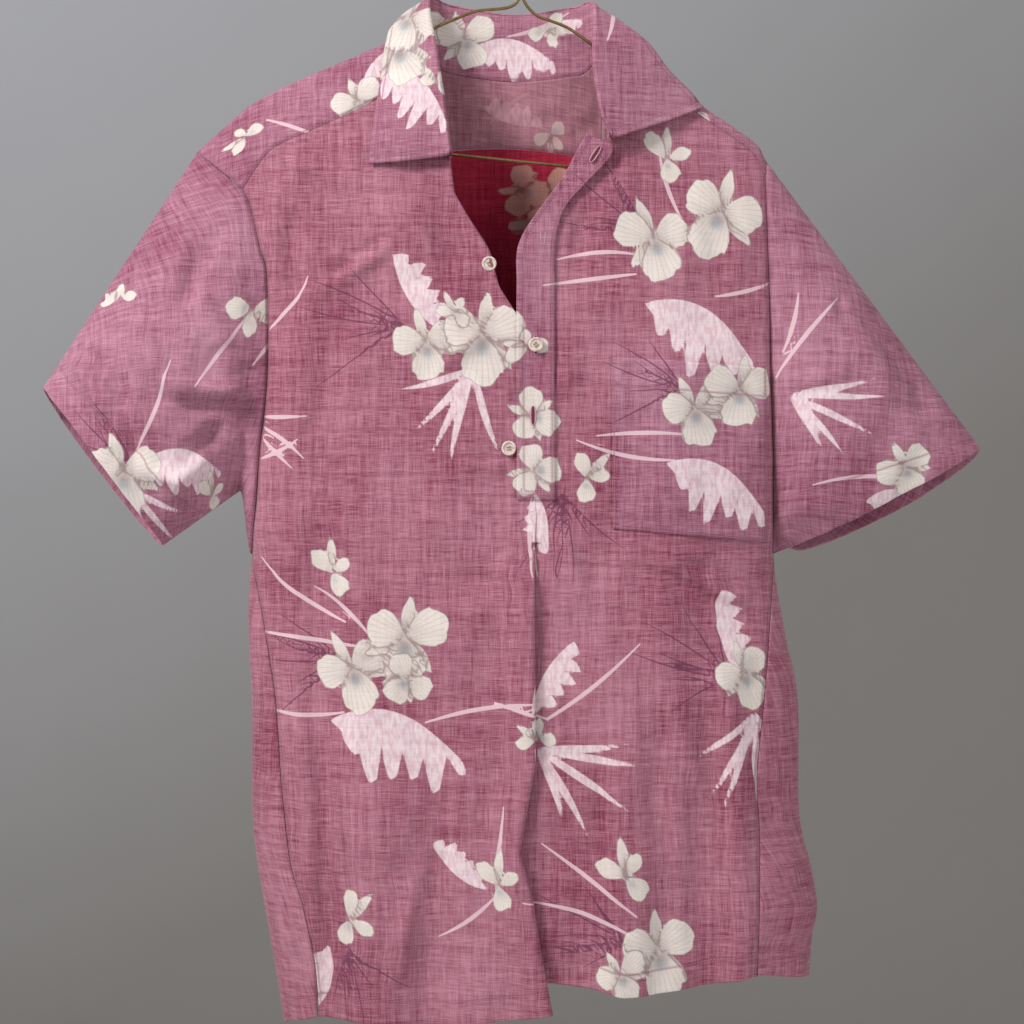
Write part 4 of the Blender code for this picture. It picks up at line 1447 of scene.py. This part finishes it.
@dataclass
class Sleeve:
    """Short sleeve, a tube from its armhole to a turned hem."""

    form: BodyForm
    finish: Finishes
    name: str
    sign: int
    ring: list[Point]
    shoulder: Point
    underarm: Point
    deep: float
    hang: tuple[float, float]
    printed: Sequence[Placed]
    creases: list[Point]
    drawn: float = 0.0
    hem_wide: float = 27.0

    def armhole(self) -> tuple[Array, Array]:
        """Front and back halves of the armhole, from the ridge to the armpit.

        Returns:
            The points of both halves.
        """
        form = self.form
        ridge_x, front_x, back_x, z_front, z_back = self.ring
        side = form.left_at if self.sign < 0 else form.right_at
        halves = []
        for end_x, end_z, face in ((front_x, z_front, Side.FRONT), (back_x, z_back, Side.BACK)):
            s = np.linspace(0, 1, 20)[:, None] ** 1.5
            x = ridge_x + (end_x - ridge_x) * s
            ridge = form.ridge_at(np.array([[ridge_x]]))
            z = ridge + (end_z - ridge) * s
            top = form.point(x, z, face)[:, 0]
            low_z = np.linspace(end_z, form.armpit, 60)[1:, None]
            low = form.point(side(low_z), low_z, face)[:, 0]
            halves.append(np.vstack([top, low]))
        return halves[0], halves[1]

    def tube(self, rows: int = 56, count: int = 74) -> Panel:
        """The sleeve's grid of rings.

        Args:
            rows: rings from the armhole to the hem.
            count: points of half a ring.

        Returns:
            The closed panel.
        """
        halves = []
        for half, face, hang in zip(self.armhole(), (1, -1), self.hang):
            length = np.concatenate([[0], np.cumsum(np.linalg.norm(np.diff(half, axis=0), axis=1))])
            share = np.linspace(0, 1, count)
            start = np.stack([np.interp(share * length[-1], length, half[:, k]) for k in range(3)], axis=1)
            start[:, 0] += self.sign * 0.1
            angle = math.pi * share
            top, low = (np.array([x, 0, z]) for x, z in (self.shoulder, self.underarm))
            over = (low - top) / np.linalg.norm(low - top)
            along = np.array([over[2], 0, -over[0]]) * self.sign
            along = -along if along[2] > 0 else along
            end = top + (low - top) * ((1 - np.cos(angle)) / 2)[:, None]
            wave = np.sin(angle)[:, None]
            end = end + np.array([0, -1, 0]) * self.deep * face * wave + along * wave * hang
            s = np.linspace(0, 1, rows)[:, None, None]
            grid = start[None] * (1 - s) + end[None] * s
            grid[..., 1] -= face * 16 * np.sin(math.pi * s[..., 0]) * wave[:, 0][None]
            s = s[..., 0]
            grid[..., 2] += self.drawn * (1 - s) * soft_step((s - 0.02) / 0.12) * np.sin(angle / 2)[None] ** 6
            halves.append(grid)
        ring = np.concatenate([halves[0], halves[1][:, -2:0:-1]], axis=1)
        mid = count // 2
        centre = ring[:, mid][:, [0, 2]]
        chord = ring[:, count - 1][:, [0, 2]] - ring[:, 0][:, [0, 2]]
        chord /= np.linalg.norm(chord, axis=1, keepdims=True)
        steps = np.linalg.norm(np.diff(ring, axis=1), axis=2)
        run = np.hstack([np.zeros((rows, 1)), np.cumsum(steps, axis=1)])
        flat = centre[:, None, :] + chord[:, None, :] * (run - run[:, mid : mid + 1])[..., None]
        panel = Panel(ring, flat, [(Edge.BOTTOM, self.hem_wide), (Edge.TOP, 1.5)], closed=True,
                      centre=tuple(ring.mean(axis=(0, 1))))
        normal = panel.normals()
        calm = soft_step(np.linspace(0, 1, rows) / 0.15)[:, None] * soft_step(np.abs(np.sin(np.concatenate(
            [np.linspace(0, math.pi, count), np.linspace(math.pi, 0, count)[1:-1]])))[None, :] * 2)
        seed = 2.0 if self.sign < 0 else 5.0
        relief = crease_relief(ring[..., 0], ring[..., 2], self.creases)
        relief = 2.3 * relief + 1.7 * ripple(flat[..., 0], flat[..., 1], seed, 55)
        relief = relief + 0.6 * ripple(flat[..., 0], flat[..., 1] * 0.8, seed + 3, 22)
        panel.points = ring + normal * (relief * calm)[..., None]
        return panel

    def build(self) -> None:
        """Makes the sleeve."""
        panel = self.tube().hemmed(self.hem_wide)
        ClothPiece(self.name + "_cloth", [panel], self.printed, self.finish.light, self.finish.inside,
                   "printed_cloth_light", (0.46, 0.235), 0.092, ["front_cloth", "back_cloth"]).build()


def sleeves(form: BodyForm, finish: Finishes) -> list[Sleeve]:
    """Both sleeves.

    Args:
        form: the body's form.
        finish: the materials.

    Returns:
        The left and the right sleeve.
    """
    left = Sleeve(
        form, finish, "sleeve_left", -1, ring=[-254, -216, -233, -229, -215], shoulder=(-374, -380),
        underarm=(-280, -503), deep=30, hang=(-4, 9), printed=SLEEVE_LEFT_PRINT, drawn=56,
        creases=[
            (-274, -376, -200, -384, 4, 5, 4.2), (-272, -392, -206, -396, 4, 5, -3.4),
            (-300, -320, -250, -400, 7, 8, 3.6), (-352, -356, -318, -412, -5, 6, 3.4),
            (-338, -352, -300, -400, -5, 6, -3.0), (-230, -250, -262, -330, 5, 9, -3.0),
            (-280, -470, -236, -420, 4, 6, 3.6), (-262, -470, -222, -400, -5, 7, -3.4),
            (-300, -440, -250, -450, 5, 6, 3.0), (-306, -380, -290, -450, 4, 6, -3.0),
            (-250, -300, -215, -360, 5, 8, 2.6)])
    right = Sleeve(
        form, finish, "sleeve_right", 1, ring=[189, 188, 188, -216, -236], shoulder=(356, -427),
        underarm=(208, -505), deep=27, hang=(2, 15), printed=SLEEVE_RIGHT_PRINT,
        creases=[
            (206, -380, 252, -366, 3, 5, 2.2), (236, -288, 252, -296, 2, 4, 1.8),
            (244, -308, 246, -332, 2, 4, -1.6), (215, -270, 300, -400, 8, 12, 1.8),
            (260, -330, 330, -430, -6, 10, -1.6)])
    return [left, right]


@dataclass
class Collar:
    """Open collar: the stand, and the fall with its two leaves."""

    form: BodyForm
    finish: Finishes
    stations: list[Point] = field(default_factory=lambda: [
        (-57, -209, -1, -55, -40, -204, -118, -211, -1), (-63, -179, -1, -61, -35, -160, -116, -187, -1),
        (-74.5, -144, -1, -67, -22, -121, -110, -144, -1), (-83.5, -101, 0, -73, 2, -79, -103, -100, 0),
        (-66, -129, 1, -55, 18, -80, -84, -140, 1), (-4, -139, 1, -6, 23, -86, -6, -165, 1),
        (48, -133, 1, 40, 18, -81, 66, -150, 1), (60.6, -112, 0, 55, 2, -83, 88, -106, 0),
        (60.3, -148, -1, 54, -21, -130, 114, -134, -1), (68, -179, -1, 59, -35, -168, 131, -151, -1),
        (71, -203, -1, 66, -40, -190, 140, -163, -1)])
    lie: float = 1.1
    edge_out: float = 5.0
    stitched: float = 5.5

    def lines(self) -> tuple[Array, Array, Array]:
        """Neck, roll and edge lines of the collar.

        Returns:
            The points of the three lines.
        """
        rows = through(self.stations, 14)
        form = self.form
        neck = np.stack([rows[:, 0], 0 * rows[:, 0], rows[:, 1]], axis=1)
        edge = np.stack([rows[:, 6], 0 * rows[:, 0], rows[:, 7]], axis=1)
        for line, side, out in ((neck, rows[:, 2], self.lie), (edge, rows[:, 8], self.edge_out)):
            deep = form.half_depth(line[:, 0], line[:, 2]) + out
            line[:, 1] = np.clip(side * 1.6, -1, 1) * deep
        return neck, rows[:, 3:6], edge

    def build(self) -> None:
        """Makes the stand and the fall."""
        neck, roll, edge = self.lines()
        share = np.linspace(0, 1, 16)[:, None, None]
        stand = lerp(neck[None], roll[None], share)
        flat = stand[..., [0, 2]].copy()
        panel = Panel(stand, flat, [(Edge.TOP, 2.0)], centre=(-8, -5, -110))
        ClothPiece("collar_stand_cloth", [panel], COLLAR_PRINT, self.finish.cloth, self.finish.light,
                   "printed_cloth", (0.42, 0.04), 0.0125, ["yoke_cloth"], wall=1.2).build()
        up = roll - neck
        up /= np.linalg.norm(up, axis=1, keepdims=True)
        out = np.stack([roll[:, 0] + 2, roll[:, 1] * 1.6, 0 * roll[:, 0]], axis=1)
        out -= up * (out * up).sum(axis=1, keepdims=True)
        out /= np.linalg.norm(out, axis=1, keepdims=True)
        start = roll + up * 2.0
        keys = [start - out * 0.8 - up * 1.2, start + out * 0.3, start + out * 2.4 - up * 0.2,
                roll + out * 4.4 - up * 1.6]
        knee = keys[-1]
        for s in (0.2, 0.4, 0.6, 0.8, 1.0):
            keys.append(lerp(knee, edge, s) + out * 3.0 * math.sin(math.pi * s))
        grid = np.stack([through([key[i] for key in keys], 5) for i in range(len(roll))], axis=1)
        flat = grid[..., [0, 2]].copy()
        lift = 0.9 * ripple(flat[..., 0], flat[..., 1], 3.3, 48) * np.linspace(0, 1, len(grid))[:, None]
        grid[..., 1] -= lift * np.sign(-grid[..., 1] + 1e-6)
        seams = [(edge_of, self.stitched) for edge_of in (Edge.BOTTOM, Edge.LEFT, Edge.RIGHT)]
        panel = Panel(grid, flat, seams, toward=(0, -0.6, 1))
        ClothPiece("collar_fall_cloth", [panel], COLLAR_PRINT, self.finish.light, self.finish.light,
                   "printed_cloth_light", (0.50, 0.075), 0.034, ["collar_stand_cloth"], wall=1.4,
                   held="folded").build()


@dataclass
class Placket:
    """Front strip with its turned-out top, the band below the other edge, and their buttonholes."""

    form: BodyForm
    finish: Finishes
    left: float = -5.0
    right: float = 24.0
    foot: float = -468.0
    lapel: list[Point] = field(default_factory=lambda: [
        (49, -188, 70, -197, 7.2), (42, -199, 66, -207, 6), (30, -222, 50, -224, 5),
        (12, -247, 33, -243, 3.5), (0, -265, 26, -262, 2), (-5, -280, 24, -280, 1.7)])
    band: list[Point] = field(default_factory=lambda: [
        (-209, -56), (-233, -53), (-252, -42), (-278, -26), (-305, -19), (-324, -7), (-344, 8), (-466, 8)])
    holes: list[Point] = field(default_factory=lambda: [(15, -266, 1.6), (9.5, -350, 1.6), (7.5, -404, 1.6)])

    def build(self) -> None:
        """Makes the strip, the band and the buttonholes."""
        form = self.form
        straight = [(self.left, z, self.right, z, 1.3) for z in np.linspace(-300, self.foot, 10)]
        rows = through([*self.lapel, *straight], 7)
        s = np.linspace(0, 1, 14)[None, :]
        x = rows[:, 0:1] + (rows[:, 2:3] - rows[:, 0:1]) * s
        z = rows[:, 1:2] + (rows[:, 3:4] - rows[:, 1:2]) * s
        crown = 0.9 * np.exp(-(s * 29 / 2.2)) + 0.25 * np.sin(z / 9 + s * 3) * (z < -290)
        points = form.point(x, z, Side.FRONT, rows[:, 4:5] + crown)
        flat = np.stack([x, z], axis=-1)
        seams = [(Edge.RIGHT, 2.0), (Edge.LEFT, 5.5), (Edge.BOTTOM, 2.0), (Edge.BOTTOM, 6.0)]
        panel = Panel(points, flat, seams)
        ClothPiece("placket_cloth", [panel], FRONT_PRINT, self.finish.light, self.finish.light,
                   "printed_cloth_light", (0.030, 0.285), 0.0083, ["front_cloth"], wall=0.9,
                   held="folded").build()
        line = through(self.band, 8)
        z, edge = line[:, :1], line[:, 1:2]
        x = edge + np.linspace(-26, 0.6, 10)[None, :]
        points = form.point(x, z * np.ones_like(x), Side.FRONT, -2.4)
        panel = Panel(points, points[..., [0, 2]], [(Edge.RIGHT, 3.0)])
        ClothPiece("button_band_cloth", [panel], FRONT_PRINT, self.finish.light, self.finish.inside,
                   "printed_cloth", (0.030, 0.29), 0.0075, ["front_cloth"], wall=0.9, held="folded").build()
        for number, (x, z, out) in enumerate(self.holes, 1):
            self.buttonhole(f"buttonhole_{number}", x, z, out, 90.0)
        self.buttonhole("buttonhole_stand", 55.0, -204.0, 7.4, 58.0)

    def buttonhole(self, name: str, x: float, z: float, out: float, turn: float) -> None:
        """Makes one sewn slot: a ring of thread round a slit of painted shade.

        Args:
            name: name of the piece.
            x, z: its middle.
            out: height over the body's surface.
            turn: angle from level, in degrees.
        """
        ring, tube, long, wide = 48, 6, 7.0, 1.25
        around = np.linspace(0, 2 * math.pi, ring, endpoint=False)
        blunt = np.sign(np.cos(around)) * np.abs(np.cos(around)) ** 0.6
        shape = np.stack([long * blunt, wide * np.sin(around)], axis=1)
        grow = np.stack([np.cos(around) * 0.5, np.sin(around)], axis=1)
        points = []
        for k in range(tube):
            a = 2 * math.pi * k / tube
            bead = 0.55 * (1 + 0.16 * np.cos(around * 22))
            place = turned(shape + grow * (0.55 + bead * math.cos(a))[:, None], turn) + (x, z)
            high = out + bead * math.sin(a) * 0.8
            points.append(self.form.point(place[:, 0], place[:, 1], Side.FRONT, high))
        grid = np.stack(points, axis=1)
        index = np.arange(ring * tube).reshape(ring, tube)
        near = np.roll(index, -1, axis=0)
        corners = (index, near, np.roll(near, -1, axis=1), np.roll(index, -1, axis=1))
        faces = np.stack(corners, axis=-1).reshape(-1, 4)
        solid(name, grid.reshape(-1, 3), faces.tolist(), self.finish.thread)
        # The slit is a flat dark crimson piece: the inner cloth seen through the opening, darkened with
        # painted shade.
        slit = turned(shape * (1.0, 0.8), turn) + (x, z)
        rim = self.form.point(slit[:, 0], slit[:, 1], Side.FRONT, out + 0.12)
        solid(name + "_slit", rim, [list(range(ring))], self.finish.shadow)


def solid(
    name: str, points: Array, faces: list[list[int]], paint: bpy.types.Material
) -> bpy.types.Object:
    """Small piece from points in millimetres, riding on the shirt.

    Args:
        name: name of the piece.
        points: its points.
        faces: its faces.
        paint: its material.

    Returns:
        The new object.
    """
    mesh = bpy.data.meshes.new(name)
    mesh.from_pydata((np.asarray(points) * MM).tolist(), [], faces)
    mesh.shade_smooth()
    mesh.materials.append(paint)
    made = bpy.data.objects.new(name, mesh)
    bpy.context.scene.collection.objects.link(made)
    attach(made, "root")
    LOG.info("%s: %d points", name, len(mesh.vertices))
    return made


@dataclass
class Pocket:
    """Patch pocket on the right half of the front."""

    form: BodyForm
    finish: Finishes
    corners: tuple[Point, Point, Point, Point] = ((67, -359), (187, -367), (188, -501), (68, -490))
    hem: float = 22.0

    def build(self) -> None:
        """Makes the pocket from the front's surface, moved out."""
        a, b, c, d = (np.array(p, float) for p in self.corners)
        u, v = np.linspace(0, 1, 56)[None, :, None], np.linspace(0, 1, 64)[:, None, None]
        place = lerp(lerp(a, b, u), lerp(d, c, u), v)
        slack = 2.2 * np.exp(-v[..., 0] * 9) * np.sin(math.pi * u[..., 0]) ** 0.7
        out = 0.75 + slack + 0.35 * ripple(place[..., 0], place[..., 1], 6.1, 40)
        points = self.form.point(place[..., 0], place[..., 1], Side.FRONT, out)
        seams = [(Edge.TOP, self.hem), (Edge.LEFT, 1.6), (Edge.RIGHT, 1.6), (Edge.BOTTOM, 1.6)]
        ClothPiece("pocket_cloth", [Panel(points, place, seams)], FRONT_PRINT, self.finish.light,
                   self.finish.inside, "printed_cloth_light", (0.12, 0.135), 0.0162, ["front_cloth"],
                   held="laid").build()


@dataclass
class Buttons:
    """Finish of the three buttons, with their holes and thread."""

    finish: Finishes
    turns: Point = (25, 40, 10)
    hole: float = 0.55
    apart: float = 1.1
    sides: int = 12
    hole_in: float = 0.5
    reach: float = 1.3
    strand: float = 0.35
    thread_high: float = 0.9

    def build(self) -> None:
        """Dresses the buttons and adds their thread, and dark discs of painted shade in their holes."""
        for number, turn in enumerate(self.turns, 1):
            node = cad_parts[f"button_{number}"]
            node.data.materials.clear()
            node.data.materials.append(self.finish.pearl)
            low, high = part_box(f"button_{number}")
            face = low[1] / MM - 0.05
            around = np.linspace(0, 2 * math.pi, self.sides, endpoint=False)
            disc = np.stack([np.cos(around), np.sin(around)], axis=1) * self.hole
            points, faces, stitch_points, stitch_faces = [], [], [], []
            centre = np.array([(low[0] + high[0]) / 2, (low[2] + high[2]) / 2]) / MM
            for k, corner in enumerate(((-1, -1), (1, -1), (1, 1), (-1, 1))):
                place = turned(disc + np.array(corner) * self.apart, turn) + centre
                points += [(p[0], face + self.hole_in, p[1]) for p in place]
                faces.append(list(range(self.sides * k, self.sides * k + self.sides)))
            for k, row in enumerate((-1, 1)):
                under, over = row * self.apart - self.strand, row * self.apart + self.strand
                ends = [(-self.reach, under), (self.reach, under), (self.reach, over), (-self.reach, over)]
                place = turned(np.array(ends), turn) + centre
                for inset in (self.strand, self.thread_high):
                    stitch_points += [(p[0], face + inset, p[1]) for p in place]
                box = [(0, 1, 2, 3), (0, 4, 5, 1), (2, 6, 7, 3), (1, 5, 6, 2), (3, 7, 4, 0)]
                stitch_faces += [[8 * k + corner for corner in quad] for quad in box]
            # dark discs of painted shade inside the four holes of the button
            solid(f"button_{number}_holes", np.array(points), faces, self.finish.shadow)
            thread = np.array(stitch_points)
            solid(f"button_{number}_thread", thread, stitch_faces, self.finish.thread)
            LOG.info("button_%d dressed", number)


@dataclass
class Hanger:
    """Finish of the bent wire hanger."""

    finish: Finishes

    def build(self) -> None:
        """Dresses the wire."""
        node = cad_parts["hanger"]
        node.data.materials.clear()
        node.data.materials.append(self.finish.brass)
        LOG.info("hanger dressed")


@dataclass
class Studio:
    """Wall, floor, lights and camera."""

    centre: Point = (-0.0086, -0.4774)
    distance: float = 1.6995
    lens: float = 76.6
    wall_y: float = 3.4
    wall_top: float = 5.0
    floor_z: float = -1.72
    floor_front: float = -4.0
    half_width: float = 6.0

    def plane(self, name: str, corners: Sequence[Point], light: Colour, dark: Colour) -> None:
        """Adds a surface of the studio with painted light: lighter at the top left, painted shade towards the
        bottom right.

        Args:
            name: its name.
            corners: its corners in metres.
            light, dark: its painted lit colour at the top left and its painted shaded colour at the bottom
                right.
        """
        mesh = bpy.data.meshes.new(name)
        mesh.from_pydata([tuple(c) for c in corners], [], [[0, 1, 2, 3]])
        s = Shader(name, 0.95)
        place = s.nodes.new("ShaderNodeTexCoord").outputs["Object"]
        split = s.nodes.new("ShaderNodeSeparateXYZ")
        s.put(split.inputs[0], place)
        # painted light: the share grows from the lit top left towards the painted shade at the bottom right
        painted_light_slope = s.math("ADD", s.math("MULTIPLY", s.math("ADD", split.outputs[0], 1.2), 0.25),
                       s.math("MULTIPLY", s.math("SUBTRACT", 0.72, split.outputs[2]), 0.4))
        rough = s.noise(place, (6, 6, 6), 3)
        uneven = s.math("MULTIPLY", s.math("SUBTRACT", rough, 0.5), 0.06)
        share = s.math("ADD", s.span(painted_light_slope, 0.0, 1.0), uneven)
        s.put(s.main.inputs["Base Color"], s.mix(share, srgb(*light), srgb(*dark)))
        mesh.materials.append(s.made)
        made = bpy.data.objects.new(name, mesh)
        bpy.context.scene.collection.objects.link(made)

    def lamp(self, name: str, place: Point, size: float, power: float) -> None:
        """Adds a square lamp that faces the shirt.

        Args:
            name: its name.
            place: where it hangs, in metres.
            size: its side, in metres.
            power: its power in watts.
        """
        data = bpy.data.lights.new(name, "AREA")
        data.size, data.energy = size, power
        made = bpy.data.objects.new(name, data)
        made.location = place
        aim = Vector((self.centre[0], 0.0, self.centre[1])) - Vector(place)
        made.rotation_euler = aim.to_track_quat("-Z", "Y").to_euler()
        bpy.context.scene.collection.objects.link(made)

    def build(self) -> None:
        """Sets up the studio."""
        scene = bpy.context.scene
        scene.view_settings.view_transform = "Standard"
        world = bpy.data.worlds.new("studio")
        world.use_nodes = True
        world.node_tree.nodes["Background"].inputs[0].default_value = (0.92, 0.95, 1.0, 1)
        world.node_tree.nodes["Background"].inputs[1].default_value = 0.4
        scene.world = world
        w, y, z, top, fore = self.half_width, self.wall_y, self.floor_z, self.wall_top, self.floor_front
        wall = [(-w, y, z), (w, y, z), (w, y, top), (-w, y, top)]
        floor = [(-w, fore, z), (w, fore, z), (w, y, z), (-w, y, z)]
        # wall and floor both carry a painted gradient of light and shade
        self.plane("wall", wall, (214, 213, 216), (158, 153, 148))
        self.plane("floor", floor, (222, 221, 219), (214, 213, 211))
        self.lamp("key", (-1.5, -1.3, 0.9), 0.7, 54)
        self.lamp("fill", (1.6, -1.8, -0.2), 1.4, 15)
        self.lamp("rear", (0.4, 1.6, 1.0), 1.5, 14)
        data = bpy.data.cameras.new("camera")
        data.lens, data.sensor_width = self.lens, 36.0
        camera = bpy.data.objects.new("camera", data)
        camera.location = (self.centre[0], -self.distance, self.centre[1])
        camera.rotation_euler = (math.pi / 2, 0, 0)
        scene.collection.objects.link(camera)
        scene.camera = camera


def finishes() -> Finishes:
    """Makes every material of the object.

    Returns:
        The materials.
    """
    inside = PrintedCloth(
        "inside_crimson", dark=(148, 14, 44), light=(196, 52, 80), petal=(204, 156, 140), fold=(128, 84, 84),
        leaf=(186, 100, 112), stem=(172, 88, 102), hair=(78, 14, 30), thread=(150, 72, 90), show=0.85)
    reverse = PrintedCloth(
        "reverse_pink", dark=(134, 76, 92), light=(188, 132, 144), petal=(206, 176, 172),
        fold=(150, 104, 110), leaf=(200, 150, 158), stem=(184, 134, 142), hair=(120, 66, 80))
    return Finishes(
        cloth=PrintedCloth("printed_cotton").make(),
        light=PrintedCloth("printed_cotton_light", dark=(124, 54, 78), light=(184, 130, 148)).make(),
        inside=inside.make(),
        reverse=reverse.make(),
        brass=Brass().make(),
        pearl=Pearl().make(),
        thread=Thread((214, 168, 182), "sewing_thread").make(),
        # painted shade for the buttonhole slits and the button holes
        shadow=Thread((118, 22, 44), "painted_shade_slit").make(),
    )


def main() -> None:
    """Builds the shirt piece by piece and writes how large it is."""
    logging.basicConfig(level=logging.INFO, format="%(name)s %(message)s")
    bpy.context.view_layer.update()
    form, finish = BodyForm(), finishes()
    body = Body(form, finish)
    body.build()
    Yoke(form, finish, body).build()
    for sleeve in sleeves(form, finish):
        sleeve.build()
    Collar(form, finish).build()
    Placket(form, finish).build()
    Pocket(form, finish).build()
    Buttons(finish).build()
    Hanger(finish).build()
    Studio().build()


if __name__ == "__main__":
    main()
